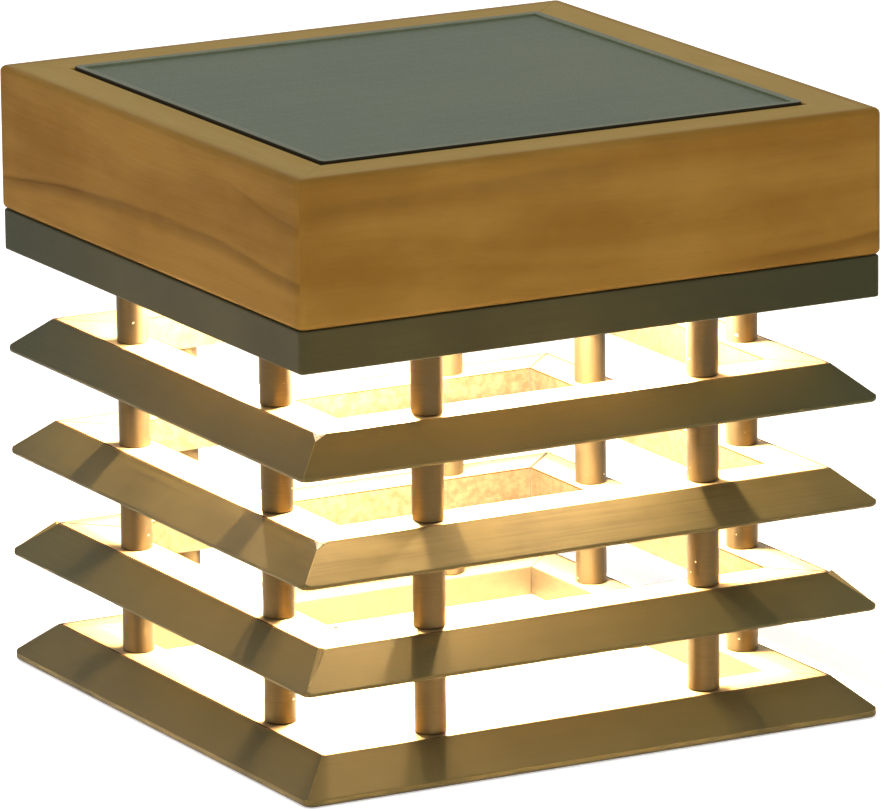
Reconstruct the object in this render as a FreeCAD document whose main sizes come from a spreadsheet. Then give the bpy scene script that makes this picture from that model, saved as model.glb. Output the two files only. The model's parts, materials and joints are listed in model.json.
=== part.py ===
import FreeCAD, Part
import math
import operator
import os
from types import SimpleNamespace

import Sketcher

# A square solar garden light. A teak frame round a solar panel stands on a shallow metal tray, and
# four bevelled louvre frames hang below it on round spacers and long tie bolts.
# Millimetres, +Z up. The origin is the middle of the underside, and +Y is the side for the wall.

sizes = {
    # louvre frames
    "louvre_size": 180.0,
    "louvre_height": 10.2,
    "base_height": 11.0,
    "louvre_bevel": 10.0,
    "louvre_land": 1.2,
    "louvre_flat": 13.5,
    "louvre_wall": 2.4,
    "louvre_corner": 3.0,
    "louvre_foot": 1.0,
    "louvre_edge": 0.35,
    "mitre_relief": 0.05,
    # spacers, tie bolts and their nuts
    "spacer_length": 19.55,
    "spacer_diameter": 9.0,
    "spacer_chamfer": 0.4,
    "spacer_reach": 43.0,
    "bolt_diameter": 4.0,
    "bolt_play": 0.2,
    "bolt_head_diameter": 7.6,
    "bolt_tail": 1.5,
    "nut_width": 7.0,
    "nut_height": 3.2,
    "nut_play": 0.05,
    "head_sink": 0.1,
    "seat_play": 0.05,
    "pilot_room": 1.0,
    # floor plate in the base frame
    "lip_width": 6.0,
    "lip_thickness": 1.2,
    "floor_thickness": 1.5,
    "floor_play": 0.3,
    "floor_screw_diameter": 2.5,
    "floor_screw_head": 4.6,
    "floor_screw_length": 2.4,
    # tray under the teak
    "tray_height": 11.8,
    "tray_wall": 2.0,
    "tray_floor": 2.0,
    "tray_corner": 1.5,
    "tray_edge": 0.6,
    "boss_diameter": 8.0,
    # seal between the tray and the teak, and the screws through it
    "frame_seal_thickness": 0.2,
    "frame_seal_inset": 1.5,
    "frame_seal_width": 13.0,
    "frame_screw_reach": 66.0,
    "frame_screw_diameter": 3.4,
    "frame_screw_head": 6.6,
    "frame_screw_length": 26.0,
    "screw_play": 0.1,
    # teak frame
    "wood_overhang": 0.5,
    "wood_height": 41.0,
    "wood_width": 15.5,
    "wood_ledge": 4.0,
    "wood_corner": 2.4,
    "wood_edge": 1.6,
    "wood_top_edge": 1.8,
    "wood_inner_edge": 0.8,
    "dowel_diameter": 6.0,
    "dowel_length": 14.0,
    "dowel_play": 0.1,
    "dowel_low": 12.0,
    "dowel_high": 25.0,
    # solar panel
    "bezel_gap": 0.35,
    "bezel_lip": 2.2,
    "bezel_lip_thickness": 0.7,
    "bezel_wall": 1.0,
    "bezel_edge": 0.3,
    "bezel_corner": 1.8,
    "glass_play": 0.1,
    "glass_thickness": 3.2,
    "cell_thickness": 0.25,
    "cell_gap": 0.6,
    "cell_margin": 1.5,
    "backsheet_thickness": 0.55,
    "tape_thickness": 0.5,
    "junction_length": 24.0,
    "junction_width": 16.0,
    "junction_height": 8.0,
    # light under the tray
    "led_board_size": 96.0,
    "led_board_thickness": 1.6,
    "led_size": 5.0,
    "led_thickness": 1.4,
    "led_outer_reach": 40.0,
    "led_inner_reach": 14.0,
    "header_length": 5.0,
    "header_width": 8.0,
    "header_stand": 5.0,
    "header_play": 0.5,
    "cover_size": 104.0,
    "cover_depth": 7.2,
    "cover_wall": 2.0,
    "cover_corner": 3.0,
    "cover_edge": 1.2,
    "cover_flange": 5.0,
    "cover_flange_thickness": 2.5,
    "cover_seal_thickness": 0.8,
    "cover_seal_inset": 0.5,
    "cover_screw_diameter": 2.8,
    "cover_screw_head": 4.4,
    "cover_screw_head_height": 1.7,
    # control board and its button
    "board_length": 64.0,
    "board_width": 44.0,
    "board_thickness": 1.6,
    "board_inset": 3.5,
    "standoff_height": 6.0,
    "standoff_diameter": 5.5,
    "board_screw_diameter": 2.4,
    "board_screw_head": 4.4,
    "board_screw_head_height": 1.5,
    "board_screw_length": 6.5,
    "connector_length": 6.0,
    "connector_width": 8.0,
    "connector_height": 5.0,
    "connector_pitch": 14.0,
    "connector_inset": 10.0,
    "choke_size": 10.0,
    "choke_height": 5.0,
    "capacitor_diameter": 8.0,
    "capacitor_height": 10.0,
    "chip_length": 7.0,
    "chip_width": 5.0,
    "chip_height": 1.4,
    "part_reach_x": 6.0,
    "part_reach_y": 11.0,
    "switch_size": 7.0,
    "switch_height": 3.4,
    "switch_bore_depth": 2.2,
    "button_gap": 2.0,
    "button_offset": 24.0,
    "button_diameter": 8.0,
    "button_play": 0.08,
    "button_travel": 1.2,
    "button_proud": 0.4,
    "button_flange_width": 1.4,
    "button_flange_thickness": 0.9,
    "button_lift": 0.3,
    "button_stem_diameter": 3.4,
    "button_stem_entry": 0.5,
    "button_edge": 0.5,
    "stem_play": 0.15,
    "collar_flange": 2.9,
    "collar_flange_thickness": 1.0,
    "collar_wall": 0.9,
    "collar_edge": 0.3,
    # battery
    "cell_diameter": 18.4,
    "cell_length": 65.0,
    "cell_tip_diameter": 6.0,
    "cell_tip_height": 1.0,
    "battery_pitch": 20.0,
    "battery_play": 0.3,
    "holder_wall": 2.5,
    "holder_floor": 1.5,
    "holder_height": 13.0,
    "battery_reach": 32.0,
    "terminal_length": 6.0,
    "terminal_width": 8.0,
    "terminal_height": 7.0,
    # leads
    "lead_diameter": 2.4,
    "lead_rise": 6.0,
    "lead_span": 22.0,
    # keyhole hangers
    "keyhole_reach": 50.0,
    "keyhole_level": 20.0,
    "plate_length": 44.0,
    "plate_width": 18.0,
    "plate_thickness": 2.0,
    "plate_play": 0.15,
    "keyhole_diameter": 9.0,
    "keyhole_slot": 4.6,
    "keyhole_rise": 7.5,
    "head_pocket_margin": 0.6,
    "head_pocket_depth": 6.0,
    "plate_screw_reach": 16.0,
    "plate_screw_diameter": 3.0,
    "plate_screw_head": 5.6,
    "plate_screw_length": 12.0,
}

cell_count = 12
root_two = math.sqrt(2)
root_half = math.sqrt(0.5)
# A wall of the bevel, measured level, for each millimetre measured square to it.
bevel_slant = 1.5
# A screw's drive recess: its width as a share of the head's, and its depth as a share of the head's height.
socket_share = 0.36
recess_share = 0.6

doc = FreeCAD.newDocument("solar_light")
sheet = doc.addObject("Spreadsheet::Sheet", "sizes")
for row, (name, number) in enumerate(sizes.items(), start=1):
    sheet.set(f"A{row}", name)
    sheet.set(f"B{row}", str(number))
    sheet.setAlias(f"B{row}", name)
doc.recompute()

signs = {"+": operator.add, "-": operator.sub, "*": operator.mul, "/": operator.truediv}
nodes = []


# A length that knows its number and the sheet expression that gives it.
class Size:
    def __init__(self, number, text):
        self.number = number
        self.text = text

    def __add__(self, other):
        return joined(self, "+", other)

    def __radd__(self, other):
        return joined(other, "+", self)

    def __sub__(self, other):
        return joined(self, "-", other)

    def __rsub__(self, other):
        return joined(other, "-", self)

    def __mul__(self, other):
        return joined(self, "*", other)

    def __rmul__(self, other):
        return joined(other, "*", self)

    def __truediv__(self, other):
        return joined(self, "/", other)

    def __neg__(self):
        return joined(0, "-", self)


def sized(length):
    return length if isinstance(length, Size) else Size(length, repr(length))


def joined(first, sign, second):
    first = sized(first)
    second = sized(second)
    number = signs[sign](first.number, second.number)
    return Size(number, f"({first.text} {sign} {second.text})")


size = SimpleNamespace(**{name: Size(number, f"sizes.{name}") for name, number in sizes.items()})

up = FreeCAD.Vector(0, 0, 1)
level = FreeCAD.Rotation()
upside_down = FreeCAD.Rotation(FreeCAD.Vector(1, 0, 0), 180)


def along(direction):
    return FreeCAD.Rotation(up, FreeCAD.Vector(*direction))


def quarter_turn(turns):
    return FreeCAD.Rotation(up, 90.0 * turns)


backwards = along((0, 1, 0))


# A place in plan, turned about the middle by a number of quarter turns.
def turned_place(x, y, turns):
    for _ in range(turns):
        x, y = -sized(y), sized(x)
    return x, y


def near(first, second):
    return abs(first - second) < 0.001


# Binding to the sheet

def bind(thing, **lengths):
    for name, length in lengths.items():
        thing.setExpression(name, sized(length).text)


def place(thing, x=0, y=0, z=0, rotation=level):
    spot = [sized(length) for length in (x, y, z)]
    thing.Placement = FreeCAD.Placement(FreeCAD.Vector(*[length.number for length in spot]), rotation)
    for letter, length in zip("xyz", spot):
        thing.setExpression(f"Placement.Base.{letter}", length.text)
    return thing


def node(label, thing):
    thing.Label = label
    nodes.append(thing)
    return thing


# Solids made from primitives

def block(name, length, width, height, x=0, y=0, z=0):
    thing = doc.addObject("Part::Box", name)
    bind(thing, Length=length, Width=width, Height=height)
    return place(thing, x - sized(length) / 2, y - sized(width) / 2, z)


def rod(name, radius, height, x=0, y=0, z=0, rotation=level):
    thing = doc.addObject("Part::Cylinder", name)
    bind(thing, Radius=radius, Height=height)
    return place(thing, x, y, z, rotation)


def fuse(name, *pieces):
    thing = doc.addObject("Part::MultiFuse", name)
    thing.Shapes = list(pieces)
    return thing


def cut(name, base, *tools):
    thing = doc.addObject("Part::Cut", name)
    thing.Base = base
    thing.Tool = tools[0] if len(tools) == 1 else fuse(name + "_tools", *tools)
    return thing


def copy(source, x=0, y=0, z=0, rotation=level):
    thing = doc.addObject("Part::Compound", source.Name + "_copy")
    thing.Links = [source]
    return place(thing, x, y, z, rotation)


def group(label, pieces):
    thing = doc.addObject("Part::Compound", label)
    thing.Links = pieces
    return node(label, thing)


# Sketches and features

def new_body(name):
    return doc.addObject("PartDesign::Body", name)


def sketch_on(body, role, height=0):
    sketch = body.newObject("Sketcher::SketchObject", body.Name + "_sketch")
    plane = next(feature for feature in body.Origin.OriginFeatures if feature.Role == role)
    sketch.AttachmentSupport = [(plane, "")]
    sketch.MapMode = "FlatFace"
    sketch.setExpression("AttachmentOffset.Base.z", sized(height).text)
    return sketch


def named(sketch, constraint, length):
    number = sketch.addConstraint(constraint)
    sketch.renameConstraint(number, f"size_{number}")
    sketch.setExpression(f"Constraints.size_{number}", sized(length).text)


def fix(sketch, geometry, end, x=None, y=None):
    for kind, length in (("DistanceX", x), ("DistanceY", y)):
        if length is not None:
            named(sketch, Sketcher.Constraint(kind, -1, 1, geometry, end, sized(length).number), length)


def flat_point(x, y):
    return FreeCAD.Vector(sized(x).number, sized(y).number, 0)


def polygon(sketch, corners):
    first = sketch.GeometryCount
    count = len(corners)
    for index, corner in enumerate(corners):
        following = corners[(index + 1) % count]
        sketch.addGeometry(Part.LineSegment(flat_point(*corner), flat_point(*following)), False)
    for index, corner in enumerate(corners):
        following = first + (index + 1) % count
        sketch.addConstraint(Sketcher.Constraint("Coincident", first + index, 2, following, 1))
        fix(sketch, first + index, 1, *corner)


def rectangle(sketch, half_length, half_width, x=0, y=0):
    polygon(sketch, [
        (x - half_length, y - half_width),
        (x + half_length, y - half_width),
        (x + half_length, y + half_width),
        (x - half_length, y + half_width),
    ])


def square(sketch, half):
    rectangle(sketch, half, half)


def circle(sketch, x, y, radius):
    geometry = sketch.addGeometry(Part.Circle(flat_point(x, y), up, sized(radius).number), False)
    fix(sketch, geometry, 3, x, y)
    named(sketch, Sketcher.Constraint("Radius", geometry, sized(radius).number), radius)


def pad(body, sketch, length):
    feature = body.newObject("PartDesign::Pad", body.Name + "_pad")
    feature.Profile = sketch
    bind(feature, Length=length)
    return feature


# A pocket that starts at its sketch and cuts upwards.
def pocket_up(body, sketch, length):
    feature = body.newObject("PartDesign::Pocket", body.Name + "_pocket")
    feature.Profile = sketch
    feature.Reversed = True
    bind(feature, Length=length)
    return feature


# A pocket that cuts right along a bar, both ways from the middle.
def pocket_along(body, sketch, length):
    feature = body.newObject("PartDesign::Pocket", body.Name + "_pocket")
    feature.Profile = sketch
    feature.SideType = "Symmetric"
    bind(feature, Length=length)
    return feature


def edge_names(body, wanted):
    doc.recompute()
    edges = enumerate(body.Tip.Shape.Edges, start=1)
    return [f"Edge{number}" for number, edge in edges if wanted(edge.BoundBox)]


def round_edges(body, radius, wanted):
    names = edge_names(body, wanted)
    base = body.Tip
    feature = body.newObject("PartDesign::Fillet", body.Name + "_round")
    feature.Base = (base, names)
    bind(feature, Radius=radius)


def bevel_edges(body, depth, wanted):
    names = edge_names(body, wanted)
    base = body.Tip
    feature = body.newObject("PartDesign::Chamfer", body.Name + "_bevel")
    feature.Base = (base, names)
    bind(feature, Size=depth)


def at_corner(half):
    def wanted(bounds):
        upright = bounds.ZLength > 0.1 and bounds.XLength < 0.001 and bounds.YLength < 0.001
        return upright and near(abs(bounds.XMin), half.number) and near(abs(bounds.YMin), half.number)
    return wanted


# A body of revolution about Z from radius and height pairs.
def revolved(name, profile):
    body = new_body(name)
    sketch = sketch_on(body, "XZ_Plane")
    polygon(sketch, profile)
    feature = body.newObject("PartDesign::Revolution", name + "_turn")
    feature.Profile = sketch
    feature.ReferenceAxis = (sketch, ["V_Axis"])
    feature.Angle = 360.0
    return body


def ring(name, outer, inner, thickness, holes=(), hole_radius=0):
    body = new_body(name)
    sketch = sketch_on(body, "XY_Plane")
    square(sketch, outer)
    square(sketch, inner)
    for x, y in holes:
        circle(sketch, x, y, hole_radius)
    pad(body, sketch, thickness)
    return body


# A hexagon across its flats, for nuts and sockets.
def hexagon(sketch, width):
    corner = width / math.sqrt(3)
    turns = [math.radians(60 * index) for index in range(6)]
    polygon(sketch, [(corner * math.cos(turn), corner * math.sin(turn)) for turn in turns])


# A screw with its head at the bottom and its shank pointing up. A countersunk head tapers to the shank.
def screw(name, diameter, length, head_diameter, head_height, countersunk=True):
    radius = diameter / 2
    head_radius = head_diameter / 2
    shoulder = radius if countersunk else head_radius
    profile = [(0, 0), (head_radius, 0), (shoulder, head_height)]
    if not countersunk:
        profile.append((radius, head_height))
    profile.extend([(radius, length), (0, length)])
    body = revolved(name, profile)
    drive = sketch_on(body, "XY_Plane")
    hexagon(drive, head_diameter * socket_share)
    pocket_up(body, drive, head_height * recess_share)
    return body


# How deep a hole's mouth is bevelled for a countersunk head that lies just below the surface.
def countersink(head_depth, hole_play):
    return head_depth - hole_play + size.head_sink + size.seat_play


# Levels and lines that the pieces share

half = size.louvre_size / 2
pitch = size.louvre_height + size.spacer_length
flat_outer = half - size.louvre_bevel
louvre_inner = flat_outer - size.louvre_flat
spacer_line = flat_outer - size.louvre_flat / 2
bolt_hole = size.bolt_diameter / 2 + size.bolt_play
bolt_head_depth = (size.bolt_head_diameter - size.bolt_diameter) / 2

floor_screw_line = louvre_inner - size.lip_width / 2
floor_screw_hole = size.floor_screw_diameter / 2 + size.screw_play

first_level = size.base_height + size.spacer_length
tray_bottom = first_level + 3 * pitch
tray_inside = tray_bottom + size.tray_floor
tray_top = tray_bottom + size.tray_height
tray_half = half

wood_half = half + size.wood_overhang
wood_inner = wood_half - size.wood_width - size.wood_ledge
opening_half = wood_half - size.wood_width
wood_bottom = tray_top + size.frame_seal_thickness
wood_top = wood_bottom + size.wood_height
frame_screw_line = (wood_half + wood_inner) / 2
frame_screw_hole = size.frame_screw_diameter / 2 + size.screw_play

panel_stack = size.glass_thickness + size.cell_thickness + size.backsheet_thickness
ledge_depth = panel_stack + size.tape_thickness
panel_bottom = wood_top - panel_stack
bezel_half = opening_half - size.bezel_gap
glass_half = bezel_half - size.bezel_wall - size.glass_play

# Each side's bar is the front one after as many quarter turns as its place in this list.
sides = ("front", "right", "back", "left")


def around(reach, line):
    return [turned_place(sign * reach, -line, turns) for turns in range(len(sides)) for sign in (-1, 1)]


def at_corners(x, y):
    return [(x_sign * x, y_sign * y) for x_sign in (-1, 1) for y_sign in (-1, 1)]


spacer_places = around(size.spacer_reach, spacer_line)
frame_screw_places = around(size.frame_screw_reach, frame_screw_line)


# Mitred bars. Each is drawn as the front bar, with its length along X.

def mitred_bar(name, outer, inner, height, corner):
    body = new_body(name)
    sketch = sketch_on(body, "XY_Plane")
    arc_line = outer - corner
    tip = arc_line + (corner - size.mitre_relief) * root_half
    inner_end = inner - size.mitre_relief * root_two
    tip_drop = arc_line + corner * root_half
    right_arc = Part.Circle(flat_point(arc_line, -arc_line), up, corner.number)
    left_arc = Part.Circle(flat_point(-arc_line, -arc_line), up, corner.number)
    quarter = math.pi / 4
    sketch.addGeometry(Part.LineSegment(flat_point(-arc_line, -outer), flat_point(arc_line, -outer)), False)
    sketch.addGeometry(Part.ArcOfCircle(right_arc, -2 * quarter, -quarter), False)
    sketch.addGeometry(Part.LineSegment(flat_point(tip, -tip_drop), flat_point(inner_end, -inner)), False)
    sketch.addGeometry(Part.LineSegment(flat_point(inner_end, -inner), flat_point(-inner_end, -inner)), False)
    sketch.addGeometry(Part.LineSegment(flat_point(-inner_end, -inner), flat_point(-tip, -tip_drop)), False)
    sketch.addGeometry(Part.ArcOfCircle(left_arc, -3 * quarter, -2 * quarter), False)
    edge_count = sketch.GeometryCount
    for index in range(edge_count):
        sketch.addConstraint(Sketcher.Constraint("Coincident", index, 2, (index + 1) % edge_count, 1))
    fix(sketch, 0, 1, -arc_line, -outer)
    fix(sketch, 0, 2, arc_line, -outer)
    fix(sketch, 3, 1, inner_end, -inner)
    fix(sketch, 3, 2, -inner_end, -inner)
    fix(sketch, 1, 3, arc_line, -arc_line)
    fix(sketch, 5, 3, -arc_line, -arc_line)
    fix(sketch, 1, 2, tip)
    fix(sketch, 5, 1, -tip)
    pad(body, sketch, height)
    return body


def louvre_bar(name, height, land, with_lip):
    body = mitred_bar(name, half, louvre_inner, height, size.louvre_corner)
    beyond = size.louvre_bevel
    bevel = sketch_on(body, "YZ_Plane")
    polygon(bevel, [
        (-(half + beyond), land),
        (-half, land),
        (-flat_outer, height),
        (-flat_outer, height + beyond),
        (-(half + beyond), height + beyond),
    ])
    pocket_along(body, bevel, size.louvre_size)
    bevel_run = size.louvre_bevel / (height - land)
    level_wall = size.louvre_wall * bevel_slant
    low = size.louvre_wall
    high = height - size.louvre_wall
    hollow = sketch_on(body, "YZ_Plane")
    polygon(hollow, [
        (level_wall - half + (low - land) * bevel_run, low),
        (-(louvre_inner + size.louvre_wall), low),
        (-(louvre_inner + size.louvre_wall), high),
        (level_wall - half + (high - land) * bevel_run, high),
    ])
    pocket_along(body, hollow, size.louvre_size)
    if with_lip:
        lip = sketch_on(body, "XY_Plane")
        lip_inner = louvre_inner - size.lip_width
        end_relief = size.mitre_relief * root_two
        polygon(lip, [
            (-(louvre_inner - end_relief), -louvre_inner),
            (louvre_inner - end_relief, -louvre_inner),
            (lip_inner - end_relief, -lip_inner),
            (-(lip_inner - end_relief), -lip_inner),
        ])
        pad(body, lip, size.lip_thickness)
    holes = sketch_on(body, "XY_Plane")
    for sign in (-1, 1):
        circle(holes, sign * size.spacer_reach, -spacer_line, bolt_hole)
    if with_lip:
        circle(holes, 0, -floor_screw_line, floor_screw_hole)
    pocket_up(body, holes, height)

    def along_bevel(bounds):
        top_edge = near(bounds.ZMin, height.number) and near(bounds.YMin, -flat_outer.number)
        inner_edge = near(bounds.ZMin, height.number) and near(bounds.YMax, -louvre_inner.number)
        land_edge = near(bounds.ZMax, land.number) and near(bounds.YMin, -half.number)
        long_and_flat = bounds.XLength > half.number and bounds.ZLength < 0.001
        return long_and_flat and (top_edge or inner_edge or land_edge)

    def along_foot(bounds):
        at_foot = near(bounds.ZMax, 0) and near(bounds.YMin, -half.number)
        return at_foot and bounds.XLength > half.number

    round_edges(body, size.louvre_edge, along_bevel)
    round_edges(body, size.louvre_foot, along_foot)
    if with_lip:
        def bolt_mouth(bounds):
            return near(bounds.ZMax, 0) and near(bounds.XLength, 2 * bolt_hole.number)

        bevel_edges(body, countersink(bolt_head_depth, size.bolt_play), bolt_mouth)
    return body


base_land = size.base_height - size.louvre_height + size.louvre_land
base_pattern = louvre_bar("base_pattern", size.base_height, base_land, with_lip=True)
louvre_pattern = louvre_bar("louvre_pattern", size.louvre_height, size.louvre_land, with_lip=False)
for turns, side in enumerate(sides):
    node(f"base_{side}_bar", copy(base_pattern, rotation=quarter_turn(turns)))
    for tier, frame in enumerate(("lower", "middle", "upper")):
        level_z = first_level + tier * pitch
        node(f"{frame}_louvre_{side}_bar", copy(louvre_pattern, z=level_z, rotation=quarter_turn(turns)))

# Spacers, tie bolts and nuts

spacer_radius = size.spacer_diameter / 2
spacer_pattern = revolved("spacer_pattern", [
    (bolt_hole, 0),
    (spacer_radius - size.spacer_chamfer, 0),
    (spacer_radius, size.spacer_chamfer),
    (spacer_radius, size.spacer_length - size.spacer_chamfer),
    (spacer_radius - size.spacer_chamfer, size.spacer_length),
    (bolt_hole, size.spacer_length),
])
for tier, frame in enumerate(("base", "lower", "middle", "upper")):
    seat = size.base_height + tier * pitch
    group(f"{frame}_spacers", [copy(spacer_pattern, x, y, seat) for x, y in spacer_places])

bolt_length = tray_inside + size.nut_height + size.bolt_tail - size.head_sink
bolt_pattern = screw("bolt_pattern", size.bolt_diameter, bolt_length,
                     size.bolt_head_diameter, bolt_head_depth)
group("tie_bolts", [copy(bolt_pattern, x, y, size.head_sink) for x, y in spacer_places])

nut_pattern = new_body("nut_pattern")
nut_sketch = sketch_on(nut_pattern, "XY_Plane")
hexagon(nut_sketch, size.nut_width)
circle(nut_sketch, 0, 0, size.bolt_diameter / 2 + size.nut_play)
pad(nut_pattern, nut_sketch, size.nut_height)
group("tie_nuts", [copy(nut_pattern, x, y, tray_inside) for x, y in spacer_places])

# Floor plate on the base frame's lip

floor_half = louvre_inner - size.floor_play
floor_head_depth = (size.floor_screw_head - size.floor_screw_diameter) / 2
floor_top = size.lip_thickness + size.floor_thickness
floor_screw_places = [turned_place(0, -floor_screw_line, turns) for turns in range(len(sides))]

floor_plate = new_body("floor_plate")
floor_sketch = sketch_on(floor_plate, "XY_Plane")
square(floor_sketch, floor_half)
for x, y in floor_screw_places:
    circle(floor_sketch, x, y, floor_screw_hole)
pad(floor_plate, floor_sketch, size.floor_thickness)


def floor_mouth(bounds):
    at_top = near(bounds.ZMin, size.floor_thickness.number)
    return at_top and near(bounds.XLength, 2 * floor_screw_hole.number)


bevel_edges(floor_plate, countersink(floor_head_depth, size.screw_play), floor_mouth)
place(node("floor_plate", floor_plate), z=size.lip_thickness)

floor_screw = screw("floor_screw", size.floor_screw_diameter, size.floor_screw_length,
                    size.floor_screw_head, floor_head_depth)
floor_screw_top = floor_top - size.head_sink
group("floor_screws", [copy(floor_screw, x, y, floor_screw_top, upside_down) for x, y in floor_screw_places])

# Places that the tray's holes share with the light, the control board and the button

cover_half = size.cover_size / 2
flange_half = cover_half + size.cover_flange
cover_inner = cover_half - size.cover_wall
cover_screw_line = cover_half + size.cover_flange / 2
cover_screw_hole = size.cover_screw_diameter / 2 + size.screw_play
cover_screw_places = at_corners(cover_screw_line, cover_screw_line)
button_radius = size.button_diameter / 2
collar_bore = button_radius + size.button_play
collar_sleeve = collar_bore + size.collar_wall
collar_outer = collar_bore + size.collar_flange
button_x = flange_half + size.button_gap + collar_outer
board_x = button_x - size.button_offset
connector_x = board_x - size.board_length / 2 + size.connector_inset
header_x = connector_x - size.lead_span
header_slot_length = size.header_length + 2 * size.header_play
header_slot_width = size.header_width + 2 * size.header_play

# Tray

frame_head_depth = (size.frame_screw_head - size.frame_screw_diameter) / 2
tray_depth = size.tray_height - size.tray_floor

tray = new_body("top_tray")
tray_plan = sketch_on(tray, "XY_Plane")
square(tray_plan, tray_half)
pad(tray, tray_plan, size.tray_height)
round_edges(tray, size.tray_corner, at_corner(tray_half))
tray_cavity = sketch_on(tray, "XY_Plane", size.tray_floor)
square(tray_cavity, tray_half - size.tray_wall)
pocket_up(tray, tray_cavity, tray_depth)
tray_bosses = sketch_on(tray, "XY_Plane", size.tray_floor)
for x, y in frame_screw_places:
    circle(tray_bosses, x, y, size.boss_diameter / 2)
pad(tray, tray_bosses, tray_depth)
tray_holes = sketch_on(tray, "XY_Plane")
for x, y in spacer_places:
    circle(tray_holes, x, y, bolt_hole)
for x, y in frame_screw_places:
    circle(tray_holes, x, y, frame_screw_hole)
for x, y in cover_screw_places:
    circle(tray_holes, x, y, cover_screw_hole)
circle(tray_holes, button_x, 0, collar_sleeve + size.screw_play)
rectangle(tray_holes, header_slot_length / 2, header_slot_width / 2, header_x)
pocket_up(tray, tray_holes, size.tray_height)


def frame_screw_mouth(bounds):
    return near(bounds.ZMax, 0) and near(bounds.XLength, 2 * frame_screw_hole.number)


def tray_rim(bounds):
    reach = max(abs(bounds.XMin), abs(bounds.XMax), abs(bounds.YMin), abs(bounds.YMax))
    return near(reach, tray_half.number) and bounds.ZLength < 0.001


bevel_edges(tray, countersink(frame_head_depth, size.screw_play), frame_screw_mouth)
round_edges(tray, size.tray_edge, tray_rim)
place(node("top_tray", tray), z=tray_bottom)

seal_half = tray_half - size.frame_seal_inset
frame_seal = ring("frame_seal", seal_half, seal_half - size.frame_seal_width, size.frame_seal_thickness,
                  frame_screw_places, frame_screw_hole)
place(node("frame_seal", frame_seal), z=tray_top)

frame_screw = screw("frame_screw", size.frame_screw_diameter, size.frame_screw_length,
                    size.frame_screw_head, frame_head_depth)
frame_screw_seat = tray_bottom + size.head_sink
group("frame_screws", [copy(frame_screw, x, y, frame_screw_seat) for x, y in frame_screw_places])

# Teak frame, with dowels in its mitres and keyhole hangers let into the back bar

teak_pattern = mitred_bar("teak_pattern", wood_half, wood_inner, size.wood_height, size.wood_corner)
rabbet = sketch_on(teak_pattern, "YZ_Plane")
polygon(rabbet, [
    (-opening_half, size.wood_height - ledge_depth),
    (-wood_inner + size.wood_ledge, size.wood_height - ledge_depth),
    (-wood_inner + size.wood_ledge, size.wood_height + ledge_depth),
    (-opening_half, size.wood_height + ledge_depth),
])
pocket_along(teak_pattern, rabbet, 2 * wood_half)
pilot_depth = size.frame_screw_length + size.head_sink + size.pilot_room - (wood_bottom - tray_bottom)
pilots = sketch_on(teak_pattern, "XY_Plane")
for sign in (-1, 1):
    circle(pilots, sign * size.frame_screw_reach, -frame_screw_line, frame_screw_hole)
pocket_up(teak_pattern, pilots, pilot_depth)


def teak_outside(height):
    def chosen(bounds):
        return near(bounds.ZMin, height) and bounds.ZLength < 0.001 and near(bounds.YMin, -wood_half.number)

    return chosen


def teak_inside(bounds):
    at_opening = near(bounds.YMin, -opening_half.number) and near(bounds.YMax, -opening_half.number)
    return at_opening and near(bounds.ZMin, size.wood_height.number)


round_edges(teak_pattern, size.wood_edge, teak_outside(0))
round_edges(teak_pattern, size.wood_top_edge, teak_outside(size.wood_height.number))
round_edges(teak_pattern, size.wood_inner_edge, teak_inside)

dowel_line = (wood_half + wood_inner) / 2


# A dowel, or its drilling, square to the mitre at the front bar's right or left end.
def dowel(name, end, height, diameter, length):
    reach = length / 2 * root_half
    x = end * (dowel_line - reach)
    y = -dowel_line - reach
    return rod(name, diameter / 2, length, x, y, height, along((end, 1, 0)))


dowel_heights = (size.dowel_low, size.dowel_high)
drillings = []
for end in (-1, 1):
    for height in dowel_heights:
        bore = size.dowel_diameter + 2 * size.dowel_play
        drillings.append(dowel("drilling", end, height, bore, size.dowel_length + 2 * size.pilot_room))
teak_bar = cut("teak_bar", teak_pattern, *drillings)

dowel_pair = doc.addObject("Part::Compound", "dowel_pair")
dowel_pair.Links = [dowel("dowel", 1, height, size.dowel_diameter, size.dowel_length)
                    for height in dowel_heights]
group("mitre_dowels", [copy(dowel_pair, z=wood_bottom, rotation=quarter_turn(turns))
                       for turns in range(len(sides))])

keyhole_low = size.keyhole_level - size.keyhole_rise / 2
pocket_margin = size.head_pocket_margin
plate_screw_hole = size.plate_screw_diameter / 2 + size.screw_play
recesses = []
for sign in (-1, 1):
    x = sign * size.keyhole_reach
    recess_width = size.plate_width + 2 * size.plate_play
    recesses.append(block("plate_recess", size.plate_length + 2 * size.plate_play, 2 * size.plate_thickness,
                          recess_width, x, -wood_half, size.keyhole_level - recess_width / 2))
    recesses.append(block("head_pocket", size.keyhole_diameter + 2 * pocket_margin,
                          2 * (size.plate_thickness + size.head_pocket_depth),
                          size.keyhole_diameter + size.keyhole_rise + 2 * pocket_margin,
                          x, -wood_half, keyhole_low - size.keyhole_diameter / 2 - pocket_margin))
    for screw_sign in (-1, 1):
        pilot_x = x + screw_sign * size.plate_screw_reach
        recesses.append(rod("plate_pilot", plate_screw_hole, size.plate_screw_length + size.pilot_room,
                            pilot_x, -wood_half, size.keyhole_level, backwards))
hanging_bar = cut("hanging_bar", teak_bar, *recesses)
for turns, side in enumerate(sides):
    pattern = hanging_bar if side == "back" else teak_bar
    node(f"teak_{side}_bar", copy(pattern, z=wood_bottom, rotation=quarter_turn(turns)))

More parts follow.
